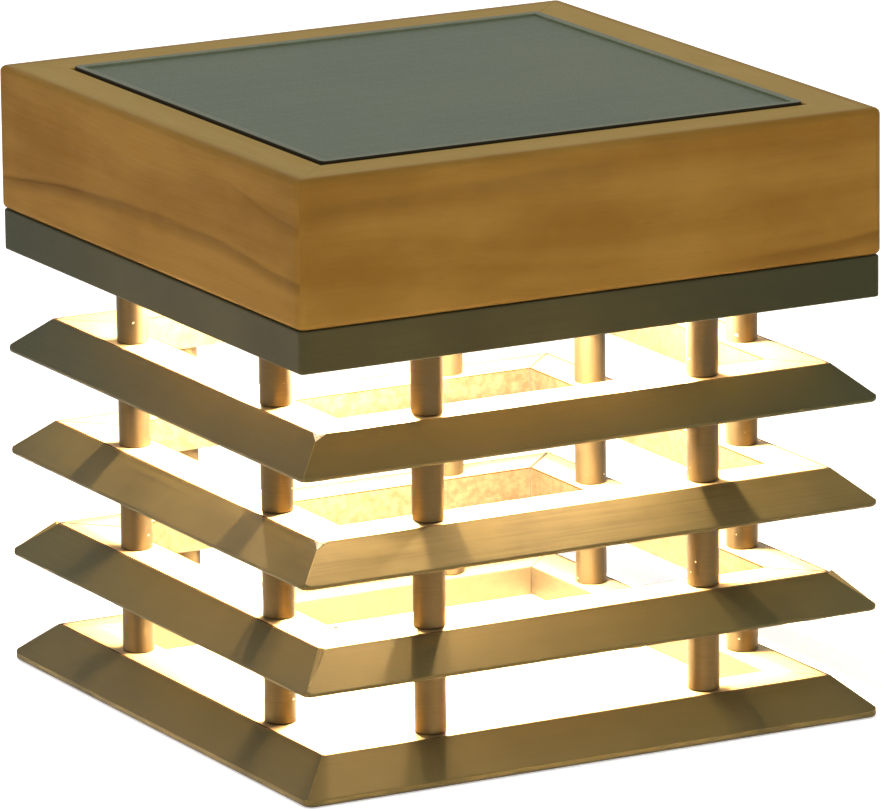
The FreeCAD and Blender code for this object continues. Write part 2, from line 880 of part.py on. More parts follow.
plate_head_depth = (size.plate_screw_head - size.plate_screw_diameter) / 2
plate_blank = block("plate_blank", size.plate_length, size.plate_thickness, size.plate_width,
                    0, size.plate_thickness / 2, -size.plate_width / 2)
plate_tools = [
    rod("keyhole_entry", size.keyhole_diameter / 2, 3 * size.plate_thickness,
        0, -size.plate_thickness, -size.keyhole_rise / 2, backwards),
    block("keyhole_slot", size.keyhole_slot, 4 * size.plate_thickness, size.keyhole_rise,
          0, 0, -size.keyhole_rise / 2),
    rod("keyhole_end", size.keyhole_slot / 2, 3 * size.plate_thickness,
        0, -size.plate_thickness, size.keyhole_rise / 2, backwards),
]
for sign in (-1, 1):
    plate_tools.append(rod("plate_hole", plate_screw_hole, 3 * size.plate_thickness,
                           sign * size.plate_screw_reach, -size.plate_thickness, 0, backwards))
    sink = doc.addObject("Part::Cone", "plate_sink")
    sink_depth = countersink(plate_head_depth, size.screw_play)
    bind(sink, Radius1=plate_screw_hole + sink_depth, Radius2=plate_screw_hole, Height=sink_depth)
    plate_tools.append(place(sink, sign * size.plate_screw_reach, 0, 0, backwards))
keyhole_plate = cut("keyhole_plate", plate_blank, *plate_tools)
plate_screw = screw("plate_screw", size.plate_screw_diameter, size.plate_screw_length,
                    size.plate_screw_head, plate_head_depth)
keyhole_z = wood_bottom + size.keyhole_level
plates = []
plate_screws = []
for sign in (-1, 1):
    plates.append(copy(keyhole_plate, sign * size.keyhole_reach, wood_half, keyhole_z, quarter_turn(2)))
    for screw_sign in (-1, 1):
        x = sign * size.keyhole_reach + screw_sign * size.plate_screw_reach
        plate_screws.append(copy(plate_screw, x, wood_half - size.head_sink, keyhole_z, along((0, -1, 0))))
group("keyhole_plates", plates)
group("keyhole_screws", plate_screws)

# Solar panel on the teak's ledge

bezel = new_body("panel_bezel")
bezel_plan = sketch_on(bezel, "XY_Plane")
square(bezel_plan, bezel_half)
bezel_height = panel_stack + size.bezel_lip_thickness
pad(bezel, bezel_plan, bezel_height)
round_edges(bezel, size.bezel_corner, at_corner(bezel_half))
bezel_cavity = sketch_on(bezel, "XY_Plane")
square(bezel_cavity, bezel_half - size.bezel_wall)
pocket_up(bezel, bezel_cavity, panel_stack)
bezel_window = sketch_on(bezel, "XY_Plane", panel_stack)
square(bezel_window, bezel_half - size.bezel_lip)
pocket_up(bezel, bezel_window, size.bezel_lip_thickness)


def bezel_top(bounds):
    return near(bounds.ZMin, bezel_height.number)


round_edges(bezel, size.bezel_edge, bezel_top)
place(node("panel_bezel", bezel), z=panel_bottom)

cell_bottom = panel_bottom + size.backsheet_thickness
node("panel_glass", block("panel_glass", 2 * glass_half, 2 * glass_half, size.glass_thickness,
                          z=cell_bottom + size.cell_thickness))
node("panel_backsheet", block("panel_backsheet", 2 * glass_half, 2 * glass_half, size.backsheet_thickness,
                              z=panel_bottom))
cells_length = 2 * (bezel_half - size.bezel_lip - size.cell_margin)
strip_width = (cells_length - (cell_count - 1) * size.cell_gap) / cell_count
strips = []
for index in range(cell_count):
    y = (index - (cell_count - 1) / 2) * (strip_width + size.cell_gap)
    strips.append(block("cell", cells_length, strip_width, size.cell_thickness, 0, y, cell_bottom))
group("solar_cells", strips)
panel_seal = ring("panel_seal", bezel_half, wood_inner, size.tape_thickness)
place(node("panel_seal", panel_seal), z=panel_bottom - size.tape_thickness)
junction_bottom = panel_bottom - size.junction_height
node("panel_junction_box", block("panel_junction_box", size.junction_length, size.junction_width,
                                 size.junction_height, header_x, -size.connector_pitch, junction_bottom))

# Light under the tray

led_board_bottom = tray_bottom - size.led_board_thickness
header_top = tray_inside + size.header_stand
node("led_board", fuse(
    "led_board",
    block("led_plate", size.led_board_size, size.led_board_size, size.led_board_thickness,
          z=led_board_bottom),
    block("led_header", size.header_length, size.header_width, header_top - tray_bottom,
          header_x, 0, tray_bottom),
))
led_places = at_corners(size.led_outer_reach, size.led_outer_reach)
led_places += at_corners(size.led_inner_reach, size.led_inner_reach)
led_bottom = led_board_bottom - size.led_thickness
group("led_chips", [block("led_chip", size.led_size, size.led_size, size.led_thickness, x, y, led_bottom)
                    for x, y in led_places])

cover = new_body("led_cover")
cover_plan = sketch_on(cover, "XY_Plane")
square(cover_plan, cover_half)
pad(cover, cover_plan, size.cover_depth)
round_edges(cover, size.cover_corner, at_corner(cover_half))
cover_rim = sketch_on(cover, "XY_Plane", size.cover_depth - size.cover_flange_thickness)
square(cover_rim, flange_half)
pad(cover, cover_rim, size.cover_flange_thickness)
round_edges(cover, size.cover_corner, at_corner(flange_half))
cover_hollow = sketch_on(cover, "XY_Plane", size.cover_wall)
square(cover_hollow, cover_inner)
pocket_up(cover, cover_hollow, size.cover_depth)
cover_holes = sketch_on(cover, "XY_Plane")
for x, y in cover_screw_places:
    circle(cover_holes, x, y, cover_screw_hole)
pocket_up(cover, cover_holes, size.cover_depth)


def cover_foot(bounds):
    return near(bounds.ZMax, 0)


round_edges(cover, size.cover_edge, cover_foot)
cover_top = tray_bottom - size.cover_seal_thickness
place(node("led_cover", cover), z=cover_top - size.cover_depth)
cover_seal = ring("cover_seal", flange_half - size.cover_seal_inset, cover_inner, size.cover_seal_thickness,
                  cover_screw_places, cover_screw_hole)
place(node("cover_seal", cover_seal), z=cover_top)
cover_screw_grip = size.cover_flange_thickness + size.cover_seal_thickness + size.tray_floor
cover_screw = screw("cover_screw", size.cover_screw_diameter, size.cover_screw_head_height + cover_screw_grip,
                    size.cover_screw_head, size.cover_screw_head_height, countersunk=False)
cover_screw_seat = tray_inside - cover_screw_grip - size.cover_screw_head_height
group("cover_screws", [copy(cover_screw, x, y, cover_screw_seat) for x, y in cover_screw_places])

# Control board, with the switch on its underside and the button below that

board_bottom = tray_inside + size.standoff_height
board_top = board_bottom + size.board_thickness
board_screw_x = size.board_length / 2 - size.board_inset
board_screw_y = size.board_width / 2 - size.board_inset
board_screw_places = [(board_x + x, y) for x, y in at_corners(board_screw_x, board_screw_y)]
board_screw_bore = size.board_screw_diameter / 2 + size.screw_play
board_holes = [rod("board_hole", board_screw_bore, size.board_thickness, x, y, board_bottom)
               for x, y in board_screw_places]
board_blank = block("board_blank", size.board_length, size.board_width, size.board_thickness,
                    board_x, 0, board_bottom)
node("control_board", cut("control_board", board_blank, *board_holes))
standoff = cut("standoff", rod("standoff_post", size.standoff_diameter / 2, size.standoff_height),
               rod("standoff_bore", board_screw_bore, size.standoff_height))
group("board_standoffs", [copy(standoff, x, y, tray_inside) for x, y in board_screw_places])
board_screw = screw("board_screw", size.board_screw_diameter, size.board_screw_length,
                    size.board_screw_head, size.board_screw_head_height, countersunk=False)
board_screw_top = board_top + size.board_screw_head_height
group("board_screws", [copy(board_screw, x, y, board_screw_top, upside_down) for x, y in board_screw_places])

components = [block("connector", size.connector_length, size.connector_width, size.connector_height,
                    connector_x, row * size.connector_pitch, board_top) for row in (-1, 0, 1)]
components.append(block("choke", size.choke_size, size.choke_size, size.choke_height,
                        board_x - size.part_reach_x, -size.part_reach_y, board_top))
components.append(rod("capacitor", size.capacitor_diameter / 2, size.capacitor_height,
                      board_x - size.part_reach_x, size.part_reach_y, board_top))
components.append(block("charge_chip", size.chip_length, size.chip_width, size.chip_height,
                        board_x + size.part_reach_x, size.part_reach_y, board_top))
components.append(block("driver_chip", size.chip_width, size.chip_width, size.chip_height,
                        board_x + size.part_reach_x, -size.part_reach_y, board_top))
group("board_components", components)

switch_bottom = board_bottom - size.switch_height
stem_radius = size.button_stem_diameter / 2
node("tact_switch", cut(
    "tact_switch",
    block("switch_case", size.switch_size, size.switch_size, size.switch_height,
          button_x, 0, switch_bottom),
    rod("switch_bore", stem_radius + size.stem_play, size.switch_bore_depth,
        button_x, 0, switch_bottom),
))

collar_bottom = tray_bottom - size.collar_flange_thickness
collar_height = size.collar_flange_thickness + size.tray_floor
collar = revolved("button_collar", [
    (collar_bore, 0),
    (collar_outer - size.collar_edge, 0),
    (collar_outer, size.collar_edge),
    (collar_outer, size.collar_flange_thickness),
    (collar_sleeve, size.collar_flange_thickness),
    (collar_sleeve, collar_height),
    (collar_bore, collar_height),
])
place(node("button_collar", collar), button_x, 0, collar_bottom)

button_bottom = collar_bottom - size.button_travel - size.button_proud
button_seat = tray_inside + size.button_lift - button_bottom
button_shoulder = button_seat + size.button_flange_thickness
stem_top = switch_bottom + size.button_stem_entry - button_bottom
button = revolved("push_button", [
    (0, 0),
    (button_radius - size.button_edge, 0),
    (button_radius, size.button_edge),
    (button_radius, button_seat),
    (button_radius + size.button_flange_width, button_seat),
    (button_radius + size.button_flange_width, button_shoulder),
    (stem_radius, button_shoulder),
    (stem_radius, stem_top),
    (0, stem_top),
])
place(node("push_button", button), button_x, 0, button_bottom)

# Battery in its holder, on the tray's floor

cell_room = size.cell_diameter + 2 * size.battery_play
holder_length = size.battery_pitch + cell_room + 2 * size.holder_wall
cell_span = size.cell_length + size.cell_tip_height
holder_width = cell_span + 2 * size.battery_play + 2 * size.holder_wall
holder_x = -size.battery_reach
battery_columns = [holder_x - size.battery_pitch / 2, holder_x + size.battery_pitch / 2]
holder_tools = [block("cell_room", cell_room, cell_span + 2 * size.battery_play, size.holder_height,
                      x, 0, tray_inside + size.holder_floor) for x in battery_columns]
holder_blank = block("holder_blank", holder_length, holder_width, size.holder_height,
                     holder_x, 0, tray_inside)
terminal_x = holder_x + holder_length / 2 + size.terminal_length / 2
node("battery_holder", fuse(
    "battery_holder",
    cut("holder_tub", holder_blank, *holder_tools),
    block("terminal", size.terminal_length, size.terminal_width, size.terminal_height,
          terminal_x, size.connector_pitch, tray_inside),
))
cell_radius = size.cell_diameter / 2
cell_z = tray_inside + size.holder_floor + cell_radius + size.seat_play
battery = []
for x in battery_columns:
    can = rod("can", cell_radius, size.cell_length, x, -cell_span / 2, cell_z, backwards)
    tip_y = cell_span / 2 - size.cell_tip_height
    tip = rod("tip", size.cell_tip_diameter / 2, size.cell_tip_height, x, tip_y, cell_z, backwards)
    battery.append(fuse("battery_cell", can, tip))
group("battery_cells", battery)


# Leads. Each is straight runs and arcs in an upright plane across the light.

def lead(label, y, edges):
    path = Part.Wire([edge.toShape() for edge in edges])
    start = path.Edges[0].valueAt(path.Edges[0].FirstParameter)
    heading = path.Edges[0].tangentAt(path.Edges[0].FirstParameter)
    radius = size.lead_diameter.number / 2
    section = Part.Wire(Part.makeCircle(radius, start, heading))
    thing = doc.addObject("Part::Feature", label)
    thing.Shape = path.makePipeShell([section], True, True)
    place(thing, y=y)
    print(label, "length", round(path.Length, 2), "volume ratio",
          round(thing.Shape.Volume / (math.pi * radius ** 2 * path.Length), 4))
    return node(label, thing)


def in_plane(x, z):
    return FreeCAD.Vector(sized(x).number, 0, sized(z).number)


# Up from one terminal, over in a half circle and down into the board's connector.
def looped_lead(label, x, y, z):
    bend = (connector_x - x) / 2
    crest = connector_top + size.lead_rise
    lead(label, y, [
        Part.LineSegment(in_plane(x, z), in_plane(x, crest)),
        Part.Arc(in_plane(x, crest), in_plane(x + bend, crest + bend), in_plane(connector_x, crest)),
        Part.LineSegment(in_plane(connector_x, crest), in_plane(connector_x, connector_top)),
    ])


connector_top = board_top + size.connector_height
looped_lead("led_lead", header_x, 0, header_top)
looped_lead("battery_lead", terminal_x, size.connector_pitch, tray_inside + size.terminal_height)

sway = size.lead_span / 2
sway_x = header_x + sway
sway_middle = (junction_bottom + connector_top) / 2
eased = sway * root_half
lead("panel_lead", -size.connector_pitch, [
    Part.LineSegment(in_plane(header_x, junction_bottom), in_plane(header_x, sway_middle + sway)),
    Part.Arc(in_plane(header_x, sway_middle + sway), in_plane(sway_x - eased, sway_middle + sway - eased),
             in_plane(sway_x, sway_middle)),
    Part.Arc(in_plane(sway_x, sway_middle), in_plane(sway_x + eased, sway_middle - sway + eased),
             in_plane(connector_x, sway_middle - sway)),
    Part.LineSegment(in_plane(connector_x, sway_middle - sway), in_plane(connector_x, connector_top)),
])

# Checks and files

doc.recompute()
failed = [thing.Label for thing in doc.Objects if {"Invalid", "Error"} & set(thing.State)]
failed += [thing.Label for thing in nodes if thing.Shape.isNull() or not thing.Shape.isValid()]
if failed:
    raise RuntimeError(f"failed objects: {failed}")
os.makedirs("parts", exist_ok=True)
for thing in nodes:
    solids = thing.Shape.Solids
    whole = solids[0] if len(solids) == 1 else Part.makeCompound(solids)
    whole.exportStep(f"parts/{thing.Label}.step")
    print(f"{thing.Label}: {len(solids)} solids, {whole.Volume / 1000:.2f} cm3")
print(len(nodes), "nodes")
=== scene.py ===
import json
import math

import bmesh
import bpy
from mathutils import Matrix, Vector


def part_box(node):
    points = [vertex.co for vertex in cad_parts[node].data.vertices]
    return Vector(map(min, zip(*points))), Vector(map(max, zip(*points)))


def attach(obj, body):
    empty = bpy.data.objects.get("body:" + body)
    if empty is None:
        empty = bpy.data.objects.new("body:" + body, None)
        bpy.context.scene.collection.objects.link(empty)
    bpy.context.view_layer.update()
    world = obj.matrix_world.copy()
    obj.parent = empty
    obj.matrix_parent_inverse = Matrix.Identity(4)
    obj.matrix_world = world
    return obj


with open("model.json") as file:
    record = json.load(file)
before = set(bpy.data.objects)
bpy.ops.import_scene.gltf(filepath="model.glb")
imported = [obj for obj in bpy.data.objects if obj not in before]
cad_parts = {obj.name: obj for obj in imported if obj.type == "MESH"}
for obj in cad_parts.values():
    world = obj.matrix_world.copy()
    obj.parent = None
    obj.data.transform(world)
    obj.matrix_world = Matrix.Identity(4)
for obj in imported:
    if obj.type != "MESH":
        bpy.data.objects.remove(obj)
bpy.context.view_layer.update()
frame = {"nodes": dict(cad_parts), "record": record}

nodes = frame["nodes"]
slotOf = {row["node"]: row["material_slot"] for row in frame["record"]["subparts"]}
print("frame loaded:", len(nodes), "nodes")


# colours are written as on a screen, 0 to 255, and turned into light by the sRGB curve
def tone(red, green, blue):
    def level(value):
        share = value / 255
        return share / 12.92 if share <= 0.04045 else ((share + 0.055) / 1.055) ** 2.4
    return (level(red), level(green), level(blue), 1.0)


# small helpers for building node trees

def addNode(tree, kind, inputs=None, **settings):
    made = tree.nodes.new(kind)
    for name, value in settings.items():
        setattr(made, name, value)
    for name, value in (inputs or {}).items():
        put(tree, made.inputs[name], value)
    return made


def put(tree, socket, value):
    if isinstance(value, bpy.types.NodeSocket):
        tree.links.new(value, socket)
    else:
        socket.default_value = value


def calc(tree, operation, first, second=0.0, third=0.0):
    made = tree.nodes.new("ShaderNodeMath")
    made.operation = operation
    for socket, value in zip(made.inputs, (first, second, third)):
        put(tree, socket, value)
    return made.outputs[0]


def vectorCalc(tree, operation, first, second):
    made = tree.nodes.new("ShaderNodeVectorMath")
    made.operation = operation
    put(tree, made.inputs[0], first)
    put(tree, made.inputs[1], second)
    return made.outputs[0]


def ramp(tree, value, fromLow, fromHigh, toLow=0.0, toHigh=1.0, soft=True):
    made = addNode(tree, "ShaderNodeMapRange", {
        "Value": value, "From Min": fromLow, "From Max": fromHigh, "To Min": toLow, "To Max": toHigh,
    })
    made.interpolation_type = "SMOOTHSTEP" if soft else "LINEAR"
    return made.outputs["Result"]


# where a Mix node keeps its sockets for colours
mixSockets = {"share": 0, "first": 6, "second": 7, "result": 2}


def blendColour(tree, share, first, second):
    made = tree.nodes.new("ShaderNodeMix")
    made.data_type = "RGBA"
    put(tree, made.inputs[mixSockets["share"]], share)
    put(tree, made.inputs[mixSockets["first"]], first)
    put(tree, made.inputs[mixSockets["second"]], second)
    return made.outputs[mixSockets["result"]]


# most of a noise lies between these two values
noiseMiddle = (0.3, 0.7)


def noise(tree, vector, scale=1.0, detail=2.0, rough=0.5):
    made = addNode(tree, "ShaderNodeTexNoise", {
        "Vector": vector, "Scale": scale, "Detail": detail, "Roughness": rough,
    })
    return made.outputs[0]


# a noise that swings about zero instead of about a half
def swingOf(tree, value, share):
    return calc(tree, "MULTIPLY", calc(tree, "SUBTRACT", value, 0.5), share)


def startGroup(name, takes, gives):
    tree = bpy.data.node_groups.new(name, "ShaderNodeTree")
    for kind, label in takes:
        tree.interface.new_socket(label, in_out="INPUT", socket_type="NodeSocket" + kind)
    for kind, label in gives:
        tree.interface.new_socket(label, in_out="OUTPUT", socket_type="NodeSocket" + kind)
    return tree, tree.nodes.new("NodeGroupInput").outputs, tree.nodes.new("NodeGroupOutput").inputs


def useGroup(tree, group, inputs):
    made = tree.nodes.new("ShaderNodeGroup")
    made.node_tree = group
    for name, value in inputs.items():
        put(tree, made.inputs[name], value)
    return made.outputs


# brushed or sanded metal: long fine lines, and a slow drift of tone across the sheet
brushing = {
    "lineDetail": 4.0, "lineRough": 0.65, "lineRange": (0.1, 0.9), "roughnessSwing": 0.35,
    "driftScale": 34.0, "driftDetail": 3.0,
}


def makeBrushGroup():
    tree, given, wanted = startGroup(
        "brushLines",
        [("Vector", "Vector"), ("Vector", "Stretch"), ("Color", "Dark"), ("Color", "Light"),
         ("Float", "Roughness"), ("Float", "Drift")],
        [("Color", "Colour"), ("Float", "Roughness"), ("Float", "Height")],
    )
    stretched = vectorCalc(tree, "MULTIPLY", given["Vector"], given["Stretch"])
    lines = noise(tree, stretched, detail=brushing["lineDetail"], rough=brushing["lineRough"])
    slow = noise(tree, given["Vector"], brushing["driftScale"], brushing["driftDetail"])
    drift = swingOf(tree, slow, given["Drift"])
    share = calc(tree, "ADD", ramp(tree, lines, 0.0, 1.0, *brushing["lineRange"], soft=False), drift)
    share = ramp(tree, share, 0.0, 1.0, soft=False)
    put(tree, wanted["Colour"], blendColour(tree, share, given["Dark"], given["Light"]))
    swing = swingOf(tree, lines, brushing["roughnessSwing"])
    put(tree, wanted["Roughness"], calc(tree, "ADD", given["Roughness"], swing))
    put(tree, wanted["Height"], lines)
    return tree


# teak: broad soft bands, fine fibres and short pores, each stretched along the bar by its own amount
grainForm = {
    "sway": (6.0, 10.0, 10.0), "swayAcross": 0.02, "swayUp": 0.025,
    "bands": (5.0, 60.0, 80.0), "bandShare": 0.5, "blotch": (26.0, 40.0, 44.0), "blotchShare": 0.5,
    "bodyRange": (0.34, 0.66),
    "fibres": (28.0, 1500.0, 1500.0), "fibreRange": (0.4, 0.75), "fibreShare": 0.06,
    "pores": (75.0, 2300.0, 2300.0), "poreRange": (0.66, 0.76), "poreShare": 0.12, "poreDepth": 0.5,
    "roughness": (0.46, 0.6),
}


def makeTeakGroup():
    tree, given, wanted = startGroup(
        "teakGrain",
        [("Vector", "Vector"), ("Float", "Seed"), ("Color", "Pale"), ("Color", "Honey"), ("Color", "Dark")],
        [("Color", "Colour"), ("Float", "Roughness"), ("Float", "Height")],
    )
    seeded = addNode(tree, "ShaderNodeCombineXYZ", {"X": given["Seed"], "Y": given["Seed"], "Z": 0.0})
    spot = vectorCalc(tree, "ADD", given["Vector"], seeded.outputs[0])
    sway = noise(tree, vectorCalc(tree, "MULTIPLY", spot, grainForm["sway"]), detail=1.0)
    shift = addNode(tree, "ShaderNodeCombineXYZ", {
        "Y": swingOf(tree, sway, grainForm["swayAcross"]), "Z": swingOf(tree, sway, grainForm["swayUp"]),
    })
    swayed = vectorCalc(tree, "ADD", spot, shift.outputs[0])
    bands = noise(tree, vectorCalc(tree, "MULTIPLY", swayed, grainForm["bands"]), detail=2.5, rough=0.55)
    blotch = noise(tree, vectorCalc(tree, "MULTIPLY", spot, grainForm["blotch"]), detail=3.0)
    fibres = noise(tree, vectorCalc(tree, "MULTIPLY", swayed, grainForm["fibres"]), detail=3.0, rough=0.6)
    pores = noise(tree, vectorCalc(tree, "MULTIPLY", swayed, grainForm["pores"]), detail=1.0)
    poreMask = ramp(tree, pores, *grainForm["poreRange"])
    bandPart = calc(tree, "MULTIPLY", bands, grainForm["bandShare"])
    body = calc(tree, "ADD", bandPart, calc(tree, "MULTIPLY", blotch, grainForm["blotchShare"]))
    colour = blendColour(tree, ramp(tree, body, *grainForm["bodyRange"]), given["Pale"], given["Honey"])
    fibreShare = calc(tree, "MULTIPLY", ramp(tree, fibres, *grainForm["fibreRange"]), grainForm["fibreShare"])
    colour = blendColour(tree, fibreShare, colour, given["Dark"])
    poreShare = calc(tree, "MULTIPLY", poreMask, grainForm["poreShare"])
    colour = blendColour(tree, poreShare, colour, given["Dark"])
    put(tree, wanted["Colour"], colour)
    put(tree, wanted["Roughness"], ramp(tree, fibres, *noiseMiddle, *grainForm["roughness"]))
    sunk = calc(tree, "MULTIPLY", poreMask, grainForm["poreDepth"])
    put(tree, wanted["Height"], calc(tree, "SUBTRACT", fibres, sunk))
    return tree


# a dark mineral streak near a gently bowed line along the bar, from one point to another
streakForm = {
    "sway": (24.0, 10.0, 10.0), "wobble": 0.003, "fade": 0.025,
    # a fine line, with a soft shade under it, in widths of the streak
    "shadeUnder": (-2.4, -0.2), "shadeOver": (0.0, 0.8, 1.0, 0.0),
    "lineUnder": (-0.5, -0.1), "lineOver": (0.1, 0.5, 1.0, 0.0),
    "patchScale": 38.0, "patchRange": (0.28, 0.62, 0.6, 1.0),
}


def makeStreakGroup():
    tree, given, wanted = startGroup(
        "mineralStreak",
        [("Vector", "Vector"), ("Float", "Height"), ("Float", "Slope"), ("Float", "Dip"),
         ("Float", "Width"), ("Float", "Soft"), ("Float", "Start"), ("Float", "Stop")],
        [("Float", "Mask")],
    )
    parts = addNode(tree, "ShaderNodeSeparateXYZ", {"Vector": given["Vector"]}).outputs
    sway = noise(tree, vectorCalc(tree, "MULTIPLY", given["Vector"], streakForm["sway"]))
    wobble = swingOf(tree, sway, streakForm["wobble"])
    bow = calc(tree, "MULTIPLY", calc(tree, "MULTIPLY", parts["X"], parts["X"]), given["Dip"])
    straight = calc(tree, "MULTIPLY_ADD", parts["X"], given["Slope"], given["Height"])
    line = calc(tree, "SUBTRACT", straight, bow)
    above = calc(tree, "SUBTRACT", calc(tree, "ADD", parts["Z"], wobble), line)
    reach = calc(tree, "DIVIDE", above, given["Width"])
    under, over = ramp(tree, reach, *streakForm["shadeUnder"]), ramp(tree, reach, *streakForm["shadeOver"])
    shade = calc(tree, "MULTIPLY", under, over)
    under, over = ramp(tree, reach, *streakForm["lineUnder"]), ramp(tree, reach, *streakForm["lineOver"])
    fine = calc(tree, "MULTIPLY", under, over)
    core = calc(tree, "MULTIPLY_ADD", given["Soft"], calc(tree, "SUBTRACT", shade, fine), fine)
    fadeIn = ramp(tree, calc(tree, "SUBTRACT", parts["X"], given["Start"]), 0.0, streakForm["fade"])
    fadeOut = ramp(tree, calc(tree, "SUBTRACT", given["Stop"], parts["X"]), 0.0, streakForm["fade"])
    patches = noise(tree, given["Vector"], streakForm["patchScale"], detail=3.0)
    patchy = ramp(tree, patches, *streakForm["patchRange"])
    ends = calc(tree, "MULTIPLY", fadeIn, fadeOut)
    put(tree, wanted["Mask"], calc(tree, "MULTIPLY", calc(tree, "MULTIPLY", core, ends), patchy))
    return tree


# fine mottling for plastics, boards, rubber and enamel
speckle = {
    "slowScale": 45.0, "slowShare": 0.5, "dotShare": 0.5, "toneRange": (0.35, 0.65), "roughnessSwing": 0.3,
}


def makeSpeckleGroup():
    tree, given, wanted = startGroup(
        "fineSpeckle",
        [("Vector", "Vector"), ("Float", "Scale"), ("Color", "Low"), ("Color", "High"),
         ("Float", "Roughness")],
        [("Color", "Colour"), ("Float", "Roughness"), ("Float", "Height")],
    )
    dots = noise(tree, given["Vector"], given["Scale"])
    slow = noise(tree, given["Vector"], speckle["slowScale"])
    slowPart = calc(tree, "MULTIPLY", slow, speckle["slowShare"])
    share = calc(tree, "MULTIPLY_ADD", dots, speckle["dotShare"], slowPart)
    put(tree, wanted["Colour"],
        blendColour(tree, ramp(tree, share, *speckle["toneRange"]), given["Low"], given["High"]))
    swing = swingOf(tree, slow, speckle["roughnessSwing"])
    put(tree, wanted["Roughness"], calc(tree, "ADD", given["Roughness"], swing))
    put(tree, wanted["Height"], dots)
    return tree


# where an edge has been rubbed: the angle between the true normal and one rounded over a small radius
rubbing = {"samples": 6, "turnRange": (0.995, 0.8), "breakScale": 420.0, "breakRange": (0.3, 0.65, 0.25, 1.0)}


def makeWearGroup():
    tree, given, wanted = startGroup(
        "edgeWear",
        [("Vector", "Vector"), ("Float", "Radius"), ("Float", "Amount")],
        [("Float", "Mask")],
    )
    rounded = addNode(tree, "ShaderNodeBevel", {"Radius": given["Radius"]}, samples=rubbing["samples"])
    flat = addNode(tree, "ShaderNodeNewGeometry")
    likeness = addNode(tree, "ShaderNodeVectorMath", operation="DOT_PRODUCT")
    put(tree, likeness.inputs[0], rounded.outputs["Normal"])
    put(tree, likeness.inputs[1], flat.outputs["Normal"])
    edge = ramp(tree, likeness.outputs["Value"], *rubbing["turnRange"])
    patches = noise(tree, given["Vector"], rubbing["breakScale"], detail=3.0)
    broken = ramp(tree, patches, *rubbing["breakRange"])
    put(tree, wanted["Mask"],
        calc(tree, "MULTIPLY", calc(tree, "MULTIPLY", edge, broken), given["Amount"]))
    return tree


# which way a face looks: up, down, or towards the middle of the light
facingRange = {"up": (0.75, 0.97), "down": (-0.75, -0.97), "inward": (0.6, 0.0)}


def makeFacingGroup():
    tree, given, wanted = startGroup(
        "facing", [("Vector", "Vector")], [("Float", "Up"), ("Float", "Down"), ("Float", "Inward")],
    )
    normal = addNode(tree, "ShaderNodeNewGeometry").outputs["Normal"]
    height = addNode(tree, "ShaderNodeSeparateXYZ", {"Vector": normal}).outputs["Z"]
    put(tree, wanted["Up"], ramp(tree, height, *facingRange["up"]))
    put(tree, wanted["Down"], ramp(tree, height, *facingRange["down"]))
    level = vectorCalc(tree, "MULTIPLY", given["Vector"], (1.0, 1.0, 0.0))
    outwards = addNode(tree, "ShaderNodeVectorMath", operation="NORMALIZE")
    put(tree, outwards.inputs[0], level)
    likeness = addNode(tree, "ShaderNodeVectorMath", operation="DOT_PRODUCT")
    put(tree, likeness.inputs[0], outwards.outputs["Vector"])
    put(tree, likeness.inputs[1], normal)
    put(tree, wanted["Inward"], ramp(tree, likeness.outputs["Value"], *facingRange["inward"]))
    return tree


brushLines = makeBrushGroup()
facing = makeFacingGroup()
teakGrain = makeTeakGroup()
mineralStreak = makeStreakGroup()
fineSpeckle = makeSpeckleGroup()
edgeWear = makeWearGroup()
print("shader groups built")


def startMaterial(name):
    material = bpy.data.materials.new(name)
    material.use_nodes = True
    tree = material.node_tree
    shader = tree.nodes["Principled BSDF"]
    spot = tree.nodes.new("ShaderNodeTexCoord").outputs["Object"]
    return material, tree, shader, spot


# how deep fine marks are, in metres
fineBump = 0.0001


def addBump(tree, shader, height, strength, distance=fineBump):
    bump = addNode(tree, "ShaderNodeBump", {"Height": height, "Strength": strength, "Distance": distance})
    put(tree, shader.inputs["Normal"], bump.outputs["Normal"])


# how far a point is from the middle, measured square like the frames
def reachOf(tree, spot):
    parts = addNode(tree, "ShaderNodeSeparateXYZ", {"Vector": spot}).outputs
    return calc(tree, "MAXIMUM", calc(tree, "ABSOLUTE", parts["X"]), calc(tree, "ABSOLUTE", parts["Y"]))


# colours that differ by where a face is: tops painted paler as painted light, undersides, upright sides
# painted darker as painted shade, inner walls painted darker or lighter against their shade, an olive tint
# that leaves a painted warm glow at two corners, and pale specks
zoneForm = {
    "insideFade": 0.0002, "mottleScale": 380.0, "mottleDetail": 5.0, "mottleRough": 0.65,
    "glowFadeRange": (0.07, 0.18), "paleSpeckScale": 520.0, "paleSpeckRange": (0.74, 0.78),
}


